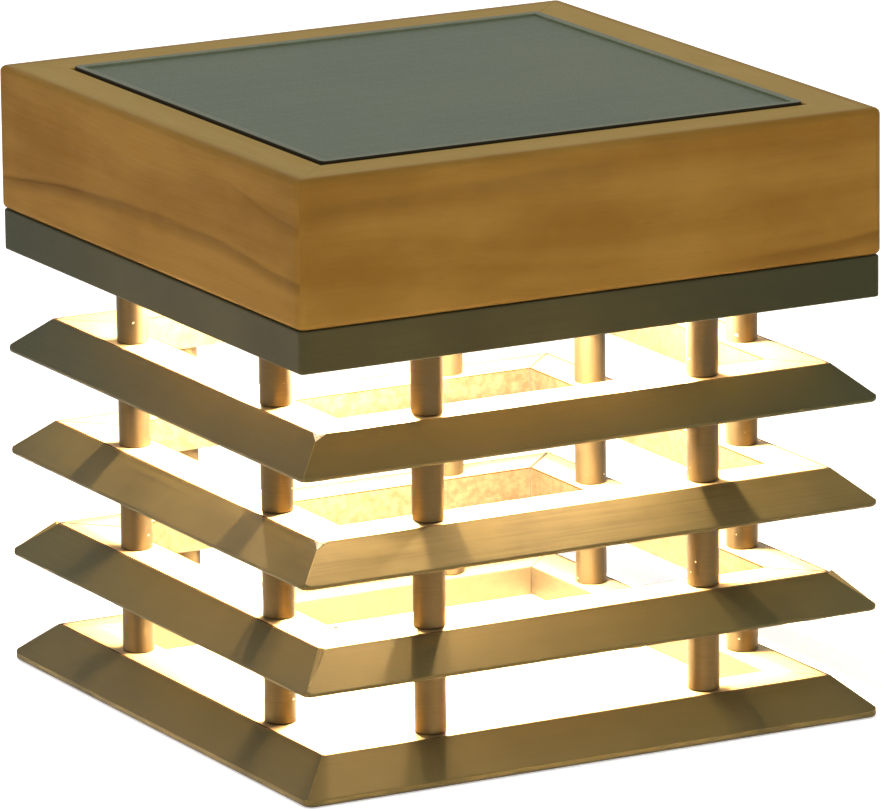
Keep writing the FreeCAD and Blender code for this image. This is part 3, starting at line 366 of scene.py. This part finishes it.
def addZones(tree, spot, colour, zones):
    side = useGroup(tree, facing, {"Vector": spot})
    upright = calc(tree, "SUBTRACT", 1.0, calc(tree, "ADD", side["Up"], side["Down"]))
    parts = addNode(tree, "ShaderNodeSeparateXYZ", {"Vector": spot}).outputs
    # tops painted paler: painted light on faces that look up
    if "top" in zones:
        paintedTopLight = calc(tree, "MULTIPLY", side["Up"], zones["topShare"])
        colour = blendColour(tree, paintedTopLight, colour, zones["top"])
    if "under" in zones:
        colour = blendColour(tree, side["Down"], colour, zones["under"])
    # upright sides painted darker: painted shade, on the bezel's sides
    if "upright" in zones:
        colour = blendColour(tree, upright, colour, zones["upright"])
    # faces that look in towards the light painted darker: painted shade
    if "inward" in zones:
        shaded = calc(tree, "MULTIPLY", side["Inward"], zones["inwardShare"])
        colour = blendColour(tree, shaded, colour, zones["inward"])
    # inner walls in their own colours: a painted shade on the louvres, darker the nearer the light; a painted
    # light on the bezel lip's shaded inner face
    if "inside" in zones:
        fadeStart = zones["insideReach"] + zoneForm["insideFade"]
        inner = ramp(tree, reachOf(tree, spot), fadeStart, zones["insideReach"])
        inner = calc(tree, "MULTIPLY", inner, calc(tree, "SUBTRACT", 1.0, side["Down"]))
        mottle = noise(tree, spot, zoneForm["mottleScale"], zoneForm["mottleDetail"], zoneForm["mottleRough"])
        wall = blendColour(tree, ramp(tree, mottle, *noiseMiddle), zones["insideDark"], zones["inside"])
        colour = blendColour(tree, inner, colour, wall)
    # an olive tint on upright faces towards the two side corners, so the front and back corners keep a
    # painted warm glow
    if "glowFadeTint" in zones:
        across = calc(tree, "ABSOLUTE", calc(tree, "SUBTRACT", parts["X"], parts["Y"]))
        glowFadeMask = calc(tree, "MULTIPLY", ramp(tree, across, *zoneForm["glowFadeRange"]), zones["glowFadeShare"])
        colour = blendColour(tree, calc(tree, "MULTIPLY", glowFadeMask, upright), colour, zones["glowFadeTint"])
    # pale specks on faces that look in towards the light
    if "paleSpecks" in zones:
        specks = ramp(tree, noise(tree, spot, zoneForm["paleSpeckScale"], detail=1.0), *zoneForm["paleSpeckRange"])
        colour = blendColour(tree, calc(tree, "MULTIPLY", specks, side["Inward"]), colour, zones["paleSpecks"])
    return colour


def metalMaterial(name, look, stretch):
    material, tree, shader, spot = startMaterial(name)
    brushed = useGroup(tree, brushLines, {
        "Vector": spot, "Stretch": stretch, "Dark": look["dark"], "Light": look["light"],
        "Roughness": look["roughness"], "Drift": look["drift"],
    })
    worn = useGroup(tree, edgeWear, {
        "Vector": spot, "Radius": look["wearRadius"], "Amount": look["wear"],
    })
    colour = blendColour(tree, worn["Mask"], brushed["Colour"], look["bare"])
    if "zones" in look:
        colour = addZones(tree, spot, colour, look["zones"])
    put(tree, shader.inputs["Base Color"], colour)
    put(tree, shader.inputs["Roughness"], brushed["Roughness"])
    shader.inputs["Metallic"].default_value = look["metallic"]
    shader.inputs["Specular IOR Level"].default_value = look["specular"]
    addBump(tree, shader, brushed["Height"], look["bump"])
    return material


def speckleMaterial(name, low, high, roughness=0.5, scale=900.0, bump=0.15, specular=0.5):
    material, tree, shader, spot = startMaterial(name)
    speckled = useGroup(tree, fineSpeckle, {
        "Vector": spot, "Scale": scale, "Low": low, "High": high, "Roughness": roughness,
    })
    put(tree, shader.inputs["Base Color"], speckled["Colour"])
    put(tree, shader.inputs["Roughness"], speckled["Roughness"])
    shader.inputs["Specular IOR Level"].default_value = specular
    addBump(tree, shader, speckled["Height"], bump)
    return material


def dress(name, material):
    slots = nodes[name].data.materials
    slots.clear()
    slots.append(material)


# teak bars: the grain runs along each bar, and each bar has its own streaks
teak = {
    "pale": tone(143, 109, 50), "honey": tone(125, 91, 36), "dark": tone(80, 52, 20),
    # the top is painted paler, a painted light from above, and fades out between these two distances from the
    # middle, over the rounded edge
    "top": tone(173, 147, 80), "topShare": 0.6, "topFull": 0.0860, "topEnd": 0.0900,
    "specular": 0.03, "bump": 0.2, "bumpDepth": 0.0002,
    # a streak's shape, and last how dark it is
    "streakShape": ("Height", "Slope", "Dip", "Width", "Soft", "Start", "Stop"),
    "bars": {
        "teak_front_bar": {"turn": 0, "seed": 0.31, "streaks": [
            (0.1312, 0.075, 0.0, 0.0018, 0.9, 0.036, 0.120, 0.44),
            (0.1665, 0.010, 0.3, 0.0030, 1.0, -0.100, 0.020, 0.25),
        ]},
        "teak_back_bar": {"turn": 0, "seed": 1.27, "streaks": [
            (0.1520, -0.030, 0.3, 0.0014, 0.5, -0.120, 0.040, 0.60),
        ]},
        "teak_left_bar": {"turn": 90, "seed": 2.6, "streaks": [
            (0.1474, 0.019, 0.635, 0.0018, 0.9, -0.120, 0.120, 0.45),
            (0.1474, 0.019, 0.635, 0.0010, 0.3, -0.120, -0.020, 0.45),
            (0.1706, -0.125, 0.0, 0.0011, 0.7, 0.040, 0.105, 0.26),
        ]},
        "teak_right_bar": {"turn": 90, "seed": 3.9, "streaks": [
            (0.1490, 0.030, 0.3, 0.0014, 0.5, -0.040, 0.120, 0.60),
        ]},
    },
}


def makeTeak(name, bar):
    material, tree, shader, spot = startMaterial(name)
    turned = addNode(tree, "ShaderNodeMapping", {
        "Vector": spot, "Rotation": (0.0, 0.0, math.radians(bar["turn"])),
    }).outputs["Vector"]
    grain = useGroup(tree, teakGrain, {
        "Vector": turned, "Seed": bar["seed"],
        "Pale": teak["pale"], "Honey": teak["honey"], "Dark": teak["dark"],
    })
    colour = grain["Colour"]
    for *shape, depth in bar["streaks"]:
        streak = useGroup(tree, mineralStreak, {"Vector": turned, **dict(zip(teak["streakShape"], shape))})
        colour = blendColour(tree, calc(tree, "MULTIPLY", streak["Mask"], depth), colour, teak["dark"])
    # the top painted paler where light falls from above, a painted light, fading out over the rounded outer
    # edge
    up = useGroup(tree, facing, {"Vector": spot})["Up"]
    fade = ramp(tree, reachOf(tree, spot), teak["topEnd"], teak["topFull"])
    paintedTopLight = calc(tree, "MULTIPLY", calc(tree, "MULTIPLY", up, fade), teak["topShare"])
    put(tree, shader.inputs["Base Color"], blendColour(tree, paintedTopLight, colour, teak["top"]))
    put(tree, shader.inputs["Roughness"], grain["Roughness"])
    shader.inputs["Specular IOR Level"].default_value = teak["specular"]
    addBump(tree, shader, grain["Height"], teak["bump"], teak["bumpDepth"])
    return material


for name, bar in teak["bars"].items():
    dress(name, makeTeak(name, bar))
print("teak dressed")

# dark bronze metal of the louvres, posts and tray
bronze = {
    "dark": tone(80, 71, 44), "light": tone(102, 89, 55), "bare": tone(150, 128, 82),
    "roughness": 0.5, "drift": 0.8, "metallic": 0.45, "specular": 0.03,
    "wear": 0.3, "wearRadius": 0.0005, "bump": 0.15,
}
louvreBronze = dict(bronze, metallic=0.8)
# the posts: faces that look in towards the light painted darker, a painted shade, with pale specks on them
postBronze = dict(bronze, dark=tone(75, 62, 38), light=tone(98, 82, 55), bump=0.08, wear=0.2,
                  metallic=0.8, roughness=0.4,
                  zones={"paleSpecks": tone(236, 222, 190), "inward": tone(58, 52, 41), "inwardShare": 0.9})
# the tray: a white underside, and an olive tint on its sides that leaves a painted warm glow at the front and
# back corners
trayBronze = dict(bronze, dark=tone(58, 54, 36), light=tone(78, 72, 46), bump=0.1, drift=1.1, wear=0.2,
                  zones={"under": tone(222, 218, 206), "glowFadeTint": tone(44, 50, 36), "glowFadeShare": 0.7})
collarBronze = dict(bronze, dark=tone(52, 51, 36), light=tone(72, 68, 45), bump=0.1)
steel = {
    "dark": tone(120, 120, 116), "light": tone(172, 170, 164), "bare": tone(205, 203, 198),
    "roughness": 0.35, "drift": 0.5, "metallic": 1.0, "specular": 0.5,
    "wear": 0.4, "wearRadius": 0.0003, "bump": 0.15,
}
# the bezel: upright sides painted dark, a painted shade, and the lip's inner face painted lighter, a painted
# light that lifts its shade
bezelSteel = dict(steel, dark=tone(94, 98, 78), light=tone(110, 112, 92), bare=tone(136, 137, 116),
                  roughness=0.5, metallic=0.4, specular=0.03, wear=0.3,
                  zones={"upright": tone(46, 40, 27), "insideReach": 0.0726, "inside": tone(124, 130, 106),
                         "insideDark": tone(114, 120, 97)})
# the flats' tops are painted pale, a painted light; each louvre frame has its own inner walls, painted darker
# the nearer the frame hangs to the light, a painted shade, and its own share of the olive tint that leaves a
# painted warm glow at the front and back corners
louvreZones = {
    "top": tone(176, 156, 116), "topShare": 0.9, "insideReach": 0.0667, "glowFadeTint": tone(56, 62, 44),
}
louvreFrames = {
    "base": dict(louvreZones, inside=tone(90, 81, 66), insideDark=tone(86, 77, 62), glowFadeShare=0.15),
    "lower_louvre": dict(louvreZones, inside=tone(88, 80, 67), insideDark=tone(72, 62, 49), glowFadeShare=0.5),
    "middle_louvre": dict(louvreZones, inside=tone(80, 72, 61), insideDark=tone(63, 53, 41), glowFadeShare=0.2),
    "upper_louvre": dict(louvreZones, inside=tone(60, 54, 46), insideDark=tone(47, 39, 30), glowFadeShare=0.7),
}
# the middle frame's brushing is the plainest to see
louvreBrushing = {"middle_louvre": {"dark": tone(70, 61, 37), "light": tone(109, 96, 60), "drift": 1.0}}
# how the brushed lines are stretched
alongX = (26.0, 1300.0, 1300.0)
alongY = (1300.0, 26.0, 1300.0)
roundZ = (90.0, 90.0, 1800.0)
allWays = (420.0, 420.0, 420.0)

louvreMetals = {}
for frameName, zones in louvreFrames.items():
    look = dict(louvreBronze, zones=zones, **louvreBrushing.get(frameName, {}))
    louvreMetals[frameName] = {
        "front": metalMaterial(frameName + "_metal_x", look, alongX),
        "left": metalMaterial(frameName + "_metal_y", look, alongY),
    }
    louvreMetals[frameName]["back"] = louvreMetals[frameName]["front"]
    louvreMetals[frameName]["right"] = louvreMetals[frameName]["left"]
metalLooks = {
    "spacer_metal": (postBronze, roundZ),
    "tray_metal": (trayBronze, alongX),
    "fastener_steel": (steel, allWays),
    "plate_steel": (steel, alongX),
    "collar_metal": (collarBronze, allWays),
    "bezel_metal": (bezelSteel, allWays),
}
metals = {name: metalMaterial(name, look, stretch) for name, (look, stretch) in metalLooks.items()}

# two tones, then roughness, how fine the speckle is, and bump
plainLooks = {
    "dowel_wood": (tone(170, 138, 88), tone(196, 166, 116), 0.7, 700.0, 0.3),
    "backsheet_white": (tone(226, 226, 222), tone(240, 240, 238), 0.5),
    "seal_cork": (tone(108, 82, 50), tone(132, 104, 66), 0.8, 900.0, 0.3),
    "seal_rubber": (tone(34, 29, 22), tone(46, 39, 30), 0.8, 1400.0, 0.3),
    "black_plastic": (tone(28, 28, 29), tone(40, 40, 41), 0.5, 2200.0, 0.25),
    "component_black": (tone(26, 26, 28), tone(44, 44, 46), 0.45, 1500.0),
    "button_black": (tone(30, 30, 30), tone(44, 43, 42), 0.5, 2600.0, 0.3),
    "battery_can": (tone(52, 92, 134), tone(64, 108, 150), 0.35, 300.0, 0.05),
    "board_green": (tone(24, 82, 48), tone(36, 102, 60), 0.4, 260.0, 0.2),
    "board_white": (tone(232, 231, 224), tone(242, 241, 236), 0.45, 500.0),
    "floor_white": (tone(226, 220, 204), tone(238, 233, 220), 0.55, 1200.0, 0.2),
    "lead_black": (tone(26, 26, 26), tone(38, 38, 37), 0.55, 1100.0),
    "lead_red": (tone(150, 30, 26), tone(174, 42, 34), 0.5, 1100.0),
}
plain = {name: speckleMaterial(name, *look) for name, look in plainLooks.items()}

# the panel: dark cells with fine printed lines, under matt textured glass
panel = {
    "cell": tone(30, 34, 40), "cellBlue": tone(36, 42, 54), "print": tone(120, 124, 126),
    "fingerPitch": 0.0018, "fingerWidth": 0.07, "cellScale": 60.0,
    "cellGrain": 300.0, "cellRoughness": (0.3, 0.45),
    "glassLow": tone(92, 106, 72), "glassHigh": tone(100, 112, 78),
    "rows": 12, "rowsLength": 0.1425, "rowGap": 0.0006, "gapSeen": tone(106, 117, 86),
    "driftScale": 14.0, "grainScale": 1500.0,
    "clear": 0.5, "roughness": (0.36, 0.48), "specular": 0.005, "bump": 0.2,
}


def makeCells():
    material, tree, shader, spot = startMaterial("solar_cell")
    parts = addNode(tree, "ShaderNodeSeparateXYZ", {"Vector": spot}).outputs
    step = calc(tree, "FRACT", calc(tree, "DIVIDE", parts["Y"], panel["fingerPitch"]))
    finger = calc(tree, "LESS_THAN", step, panel["fingerWidth"])
    cloud = noise(tree, spot, panel["cellScale"], detail=3.0)
    shade = blendColour(tree, cloud, panel["cell"], panel["cellBlue"])
    put(tree, shader.inputs["Base Color"], blendColour(tree, finger, shade, panel["print"]))
    fine = noise(tree, spot, panel["cellGrain"])
    put(tree, shader.inputs["Roughness"], ramp(tree, fine, *noiseMiddle, *panel["cellRoughness"]))
    return material


def makeGlass():
    material, tree, shader, spot = startMaterial("panel_glass")
    slow = noise(tree, spot, panel["driftScale"])
    matt = blendColour(tree, ramp(tree, slow, *noiseMiddle), panel["glassLow"], panel["glassHigh"])
    # the gaps between the rows of cells show through a little paler
    pitch = panel["rowsLength"] / panel["rows"]
    parts = addNode(tree, "ShaderNodeSeparateXYZ", {"Vector": spot}).outputs
    along = calc(tree, "ADD", parts["Y"], panel["rowGap"] / 2)
    row = calc(tree, "FRACT", calc(tree, "DIVIDE", along, pitch))
    gap = calc(tree, "LESS_THAN", row, panel["rowGap"] / pitch)
    within = calc(tree, "LESS_THAN", reachOf(tree, spot), (panel["rowsLength"] - panel["rowGap"]) / 2)
    edge = calc(tree, "SUBTRACT", 1.0, within)
    pale = calc(tree, "MAXIMUM", gap, edge)
    put(tree, shader.inputs["Base Color"], blendColour(tree, pale, matt, panel["gapSeen"]))
    fine = noise(tree, spot, panel["grainScale"])
    put(tree, shader.inputs["Roughness"], ramp(tree, fine, *noiseMiddle, *panel["roughness"]))
    shader.inputs["Transmission Weight"].default_value = panel["clear"]
    shader.inputs["Specular IOR Level"].default_value = panel["specular"]
    addBump(tree, shader, fine, panel["bump"])
    return material


# the warm light: phosphor chips under a clear cover
glow = {
    "light": tone(255, 228, 186), "edge": tone(255, 220, 168), "strength": 27000.0,
    "phosphorScale": 1800.0, "cover": tone(232, 234, 232), "hazeScale": 240.0,
    "coverAlpha": (0.18, 0.26), "coverRoughness": (0.12, 0.22),
}


def makePhosphor():
    material, tree, shader, spot = startMaterial("led_phosphor")
    share = noise(tree, spot, glow["phosphorScale"])
    colour = blendColour(tree, share, glow["light"], glow["edge"])
    put(tree, shader.inputs["Base Color"], colour)
    put(tree, shader.inputs["Emission Color"], colour)
    shader.inputs["Emission Strength"].default_value = glow["strength"]
    return material


def makeCover():
    material, tree, shader, spot = startMaterial("cover_clear")
    haze = noise(tree, spot, glow["hazeScale"], detail=3.0)
    shader.inputs["Base Color"].default_value = glow["cover"]
    put(tree, shader.inputs["Alpha"], ramp(tree, haze, *noiseMiddle, *glow["coverAlpha"]))
    put(tree, shader.inputs["Roughness"], ramp(tree, haze, *noiseMiddle, *glow["coverRoughness"]))
    return material


special = {
    "panel_glass": makeGlass(),
    "solar_cell": makeCells(),
    "led_phosphor": makePhosphor(),
    "cover_clear": makeCover(),
}
bySlot = {**metals, **plain, **special}
for name, slot in slotOf.items():
    if slot == "teak":
        continue
    if slot == "louvre_metal":
        frameName, side = name.rsplit("_", 2)[:2]
        dress(name, louvreMetals[frameName][side])
    else:
        dress(name, bySlot[slot])
# the thin seal under the teak is brown cork, not black rubber
dress("frame_seal", plain["seal_cork"])
print("metal, panel and light dressed")

# a thin black gasket in the gap between the panel's rim and the teak
gasket = {"gap": 0.00033, "width": 0.0003, "drop": 0.0005, "height": 0.0016, "edge": 0.00005}
woodLow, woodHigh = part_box("teak_front_bar")
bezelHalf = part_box("panel_bezel")[1].x


def addPiece(name, mesh, material):
    data = bpy.data.meshes.new(name)
    bmesh.ops.recalc_face_normals(mesh, faces=mesh.faces)
    mesh.to_mesh(data)
    mesh.free()
    piece = bpy.data.objects.new(name, data)
    data.materials.append(material)
    bpy.context.scene.collection.objects.link(piece)
    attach(piece, "lantern")


# a bevel's profile for a round edge
roundProfile = 0.5


def addRing(mesh, half, width, top, height, edge):
    made = bmesh.ops.create_grid(mesh, x_segments=1, y_segments=1, size=half)["verts"]
    bmesh.ops.translate(mesh, verts=made, vec=(0.0, 0.0, top))
    middle = list(made[0].link_faces)
    ring = bmesh.ops.inset_region(mesh, faces=middle, thickness=width, use_boundary=True,
                                  use_even_offset=True)["faces"]
    bmesh.ops.delete(mesh, geom=middle, context="FACES")
    rim = [line for line in mesh.edges if line.is_boundary]
    grown = bmesh.ops.extrude_face_region(mesh, geom=ring, use_keep_orig=True)["geom"]
    low = [item for item in grown if isinstance(item, bmesh.types.BMVert)]
    bmesh.ops.translate(mesh, verts=low, vec=(0.0, 0.0, -height))
    bmesh.ops.bevel(mesh, geom=rim, offset=edge, affect="EDGES", segments=2, profile=roundProfile,
                    material=-1)


def panelGasket():
    mesh = bmesh.new()
    addRing(mesh, bezelHalf + gasket["gap"], gasket["width"], woodHigh.z - gasket["drop"], gasket["height"],
            gasket["edge"])
    addPiece("panel_gasket", mesh, plain["seal_rubber"])


panelGasket()

# corner joints of the louvre frames: a dark joint line across the flat and down the inner corner, a small
# ground weld down the hip, and a brown line of painted shade along both edges of the flats, where the rounded
# edges fall into shade; the base is smooth inside
seam = {
    "flatInner": 0.0665, "flatOuter": 0.080, "lineProud": 0.00003, "lineDepth": 0.0004,
    "lineWidths": {"base": 0.0003, "lower_louvre": 0.0010, "middle_louvre": 0.0006, "upper_louvre": 0.0005},
    "edgeShadeOuter": 0.0006, "edgeShadeInner": 0.0004,
    "edgeShadeProud": 0.00002, "edgeShadeDepth": 0.0003, "edgeShadeRound": 0.00001,
    "hipTop": 0.0797, "hipFoot": 0.0887, "hipRun": 0.010, "weldSink": 0.0002, "weldSides": 10,
    "pointDrop": 0.0013, "pointWide": 0.0026, "pointThick": 0.0003, "pointProud": 0.00006,
    # each frame's weld radius at the top and at the foot
    "welds": {"base": (0.0002, 0.0002), "lower_louvre": (0.0010, 0.0003),
              "middle_louvre": (0.0003, 0.0003), "upper_louvre": (0.0003, 0.0003)},
    "points": ("middle_louvre", "upper_louvre"), "pointCorner": (-1, -1),
    # the upright strip at the foot of the slope
    "land": 0.0012, "baseLand": 0.0020,
}
seamDark = speckleMaterial("seam_dark", tone(12, 8, 5), tone(18, 13, 8), roughness=0.9)
# a brown for the painted shade along the flats' edges
edgeShadeBrown = speckleMaterial("painted_edge_shade", tone(40, 25, 13), tone(54, 35, 19), roughness=0.8,
                              specular=0.0)
weldLook = dict(bronze, dark=tone(118, 102, 66), light=tone(138, 120, 80), wear=0.0, roughness=0.45)
groundLook = dict(steel, dark=tone(222, 214, 196), light=tone(238, 232, 218), wear=0.0, roughness=0.3)
weldBright = metalMaterial("weld_bright", weldLook, allWays)
weldGround = metalMaterial("weld_ground", groundLook, allWays)
corners = [(1, 1), (-1, 1), (-1, -1), (1, -1)]


def jointLines(name, low, level, width, smoothInside):
    mesh = bmesh.new()
    inner, outer = seam["flatInner"], seam["flatOuter"]
    tall = level - low
    flat = ((outer - inner) * math.sqrt(2), width, seam["lineDepth"])
    wall = (seam["lineDepth"], width, tall)
    flatSpot = ((inner + outer) / 2, level + seam["lineProud"] - seam["lineDepth"] / 2)
    wallSpot = (inner - seam["lineProud"] + seam["lineDepth"] / 4, low + tall / 2)
    lines = [(flat, flatSpot)] if smoothInside else [(flat, flatSpot), (wall, wallSpot)]
    for signX, signY in corners:
        turn = Matrix.Rotation(math.atan2(signY, signX), 4, "Z")
        for size, (reach, high) in lines:
            spot = Matrix.Translation((signX * reach, signY * reach, high))
            bmesh.ops.create_cube(mesh, size=1.0, matrix=spot @ turn @ Matrix.Diagonal((*size, 1.0)))
    addPiece(name, mesh, seamDark)


# brown lines of painted shade along both edges of each flat, where the rounded edges fall into shade
def edgeShadeLines(name, level, smoothInside):
    mesh = bmesh.new()
    top = level + seam["edgeShadeProud"]
    outer, inner = seam["edgeShadeOuter"], seam["edgeShadeInner"]
    addRing(mesh, seam["flatOuter"], outer, top, seam["edgeShadeDepth"], seam["edgeShadeRound"])
    if not smoothInside:
        addRing(mesh, seam["flatInner"] + inner, inner, top, seam["edgeShadeDepth"], seam["edgeShadeRound"])
    addPiece(name, mesh, edgeShadeBrown)


def hipWelds(name, level, drop, topRadius, footRadius):
    mesh = bmesh.new()
    for signX, signY in corners:
        top = Vector((signX * seam["hipTop"], signY * seam["hipTop"], level))
        fall = (seam["hipFoot"] - seam["hipTop"]) * drop / seam["hipRun"]
        foot = Vector((signX * seam["hipFoot"], signY * seam["hipFoot"], level - fall))
        along = foot - top
        turn = along.to_track_quat("Z", "X").to_matrix().to_4x4()
        spot = (top + foot) / 2 - Vector((0.0, 0.0, seam["weldSink"]))
        bmesh.ops.create_cone(mesh, cap_ends=True, segments=seam["weldSides"], radius1=topRadius,
                              radius2=footRadius, depth=along.length,
                              matrix=Matrix.Translation(spot) @ turn)
    addPiece(name, mesh, weldBright)


# where the weld was ground off at the top of the front hip: a bright V on both slopes
def groundPoint(name, level, drop):
    mesh = bmesh.new()
    signX, signY = seam["pointCorner"]
    outer, wide, fall = seam["flatOuter"], seam["pointWide"], seam["pointDrop"]
    run = outer + fall * seam["hipRun"] / drop
    spots = [(outer, outer, 0.0), (outer - wide, outer, 0.0), (run, run, -fall), (outer, outer - wide, 0.0)]
    tip, right, foot, left = [mesh.verts.new((signX * x, signY * y, level + z)) for x, y, z in spots]
    mesh.faces.new((tip, right, foot))
    mesh.faces.new((tip, foot, left))
    bmesh.ops.recalc_face_normals(mesh, faces=mesh.faces)
    bmesh.ops.solidify(mesh, geom=list(mesh.faces), thickness=seam["pointThick"])
    outwards = Vector((signX, signY, 1.0)).normalized() * seam["pointProud"]
    bmesh.ops.translate(mesh, verts=mesh.verts, vec=outwards)
    addPiece(name, mesh, weldGround)


for frameName, (topRadius, footRadius) in seam["welds"].items():
    low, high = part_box(frameName + "_front_bar")
    smoothInside = frameName == "base"
    land = seam["baseLand"] if smoothInside else seam["land"]
    drop = high.z - low.z - land
    jointLines(frameName + "_joint_lines", low.z, high.z, seam["lineWidths"][frameName], smoothInside)
    edgeShadeLines(frameName + "_edge_shade_lines", high.z, smoothInside)
    hipWelds(frameName + "_corner_welds", high.z, drop, topRadius, footRadius)
    if frameName in seam["points"]:
        groundPoint(frameName + "_ground_point", high.z, drop)

# glue in the teak's mitres, just under the surface
glue = {
    "inner": 0.0758, "outer": 0.08978, "under": 0.00003, "thick": 0.00009,
    "roundLow": 0.0016, "roundHigh": 0.0018, "roundSteps": 6,
    "colourLow": tone(110, 79, 31), "colourHigh": tone(121, 89, 37), "roughness": 0.7,
}


# the edges at one height between the given points
def edgesAt(mesh, points, level):
    def fits(vert):
        return vert in points and abs(vert.co.z - level) < glue["thick"]

    return [edge for edge in mesh.edges if all(fits(vert) for vert in edge.verts)]


def glueLines():
    mesh = bmesh.new()
    low, high = woodLow.z + glue["under"], woodHigh.z - glue["under"]
    middle = (glue["inner"] + glue["outer"]) / 2
    length = (glue["outer"] - glue["inner"]) * math.sqrt(2)
    size = Matrix.Diagonal((length, glue["thick"], high - low, 1.0))
    for signX, signY in corners:
        turn = Matrix.Rotation(math.atan2(signY, signX), 4, "Z")
        spot = Matrix.Translation((signX * middle, signY * middle, (low + high) / 2))
        made = bmesh.ops.create_cube(mesh, size=1.0, matrix=spot @ turn @ size)["verts"]
        outer = sorted(made, key=lambda vert: -abs(vert.co.x + vert.co.y * signX * signY))[:4]
        lowRim, highRim = edgesAt(mesh, outer, low), edgesAt(mesh, outer, high)
        for rim, radius in ((lowRim, glue["roundLow"]), (highRim, glue["roundHigh"])):
            bmesh.ops.bevel(mesh, geom=rim, offset=radius, affect="EDGES", segments=glue["roundSteps"],
                            profile=roundProfile, material=-1)
    material = speckleMaterial("teak_glue", glue["colourLow"], glue["colourHigh"], glue["roughness"])
    addPiece("teak_glue_lines", mesh, material)


glueLines()
print("trim and seams added")

# the room: a pale floor, an even sky and one broad soft lamp
room = {
    "floorSize": 24.0, "floorDrop": 0.0003, "floor": tone(250, 250, 250), "floorLift": 0.5,
    "floorRoughness": 0.9, "floorSpecular": 0.0, "white": (1.0, 1.0, 1.0, 1.0),
    "sky": 0.5, "lamp": 1.3, "lampSpread": 70.0, "lampTurn": (38.0, -14.0, -20.0),
}


def seenRays(tree):
    path = tree.nodes.new("ShaderNodeLightPath").outputs
    seen = calc(tree, "MAXIMUM", path["Is Camera Ray"], path["Is Glossy Ray"])
    return calc(tree, "MAXIMUM", seen, path["Is Transmission Ray"])


def makeFloor():
    bpy.ops.mesh.primitive_plane_add(size=room["floorSize"], location=(0.0, 0.0, -room["floorDrop"]))
    floor = bpy.context.object
    floor.name = "studio_floor"
    material, tree, shader = startMaterial("studio_floor")[:3]
    shader.inputs["Base Color"].default_value = room["floor"]
    shader.inputs["Roughness"].default_value = room["floorRoughness"]
    shader.inputs["Specular IOR Level"].default_value = room["floorSpecular"]
    shader.inputs["Emission Color"].default_value = room["white"]
    put(tree, shader.inputs["Emission Strength"], calc(tree, "MULTIPLY", seenRays(tree), room["floorLift"]))
    floor.data.materials.append(material)


def makeSky():
    world = bpy.data.worlds.new("studio_sky")
    bpy.context.scene.world = world
    world.use_nodes = True
    tree = world.node_tree
    sky = tree.nodes["Background"]
    sky.inputs["Color"].default_value = room["white"]
    put(tree, sky.inputs["Strength"], ramp(tree, seenRays(tree), 0.0, 1.0, room["sky"], 1.0, soft=False))


def makeLamp():
    lamp = bpy.data.lights.new("soft_lamp", "SUN")
    lamp.energy = room["lamp"]
    lamp.angle = math.radians(room["lampSpread"])
    holder = bpy.data.objects.new("soft_lamp", lamp)
    holder.rotation_euler = [math.radians(turn) for turn in room["lampTurn"]]
    bpy.context.scene.collection.objects.link(holder)


makeFloor()
makeSky()
makeLamp()
print("room ready")

# the camera stands where the photograph was taken from
camera = {
    "lens": 372.37, "sensor": 36.0, "spot": (-1.179776, -2.175618, 0.685981),
    "azimuth": -28.48856, "elevation": 13.72099, "roll": -0.63624, "nearest": 0.01, "farthest": 100.0,
}


def makeCamera():
    azimuth, elevation, roll = (math.radians(camera[key]) for key in ("azimuth", "elevation", "roll"))
    back = Vector((math.sin(azimuth) * math.cos(elevation),
                   -math.cos(azimuth) * math.cos(elevation), math.sin(elevation)))
    level = Vector((math.cos(azimuth), math.sin(azimuth), 0.0))
    upright = back.cross(level)
    right = level * math.cos(roll) + upright * math.sin(roll)
    up = upright * math.cos(roll) - level * math.sin(roll)
    data = bpy.data.cameras.new("photo_camera")
    data.lens = camera["lens"]
    data.sensor_width = camera["sensor"]
    data.clip_start = camera["nearest"]
    data.clip_end = camera["farthest"]
    holder = bpy.data.objects.new("photo_camera", data)
    turn = Matrix((right, up, back)).transposed().to_4x4()
    holder.matrix_world = Matrix.Translation(Vector(camera["spot"])) @ turn
    bpy.context.scene.collection.objects.link(holder)
    bpy.context.scene.camera = holder


makeCamera()
bpy.context.scene.view_settings.view_transform = "Standard"
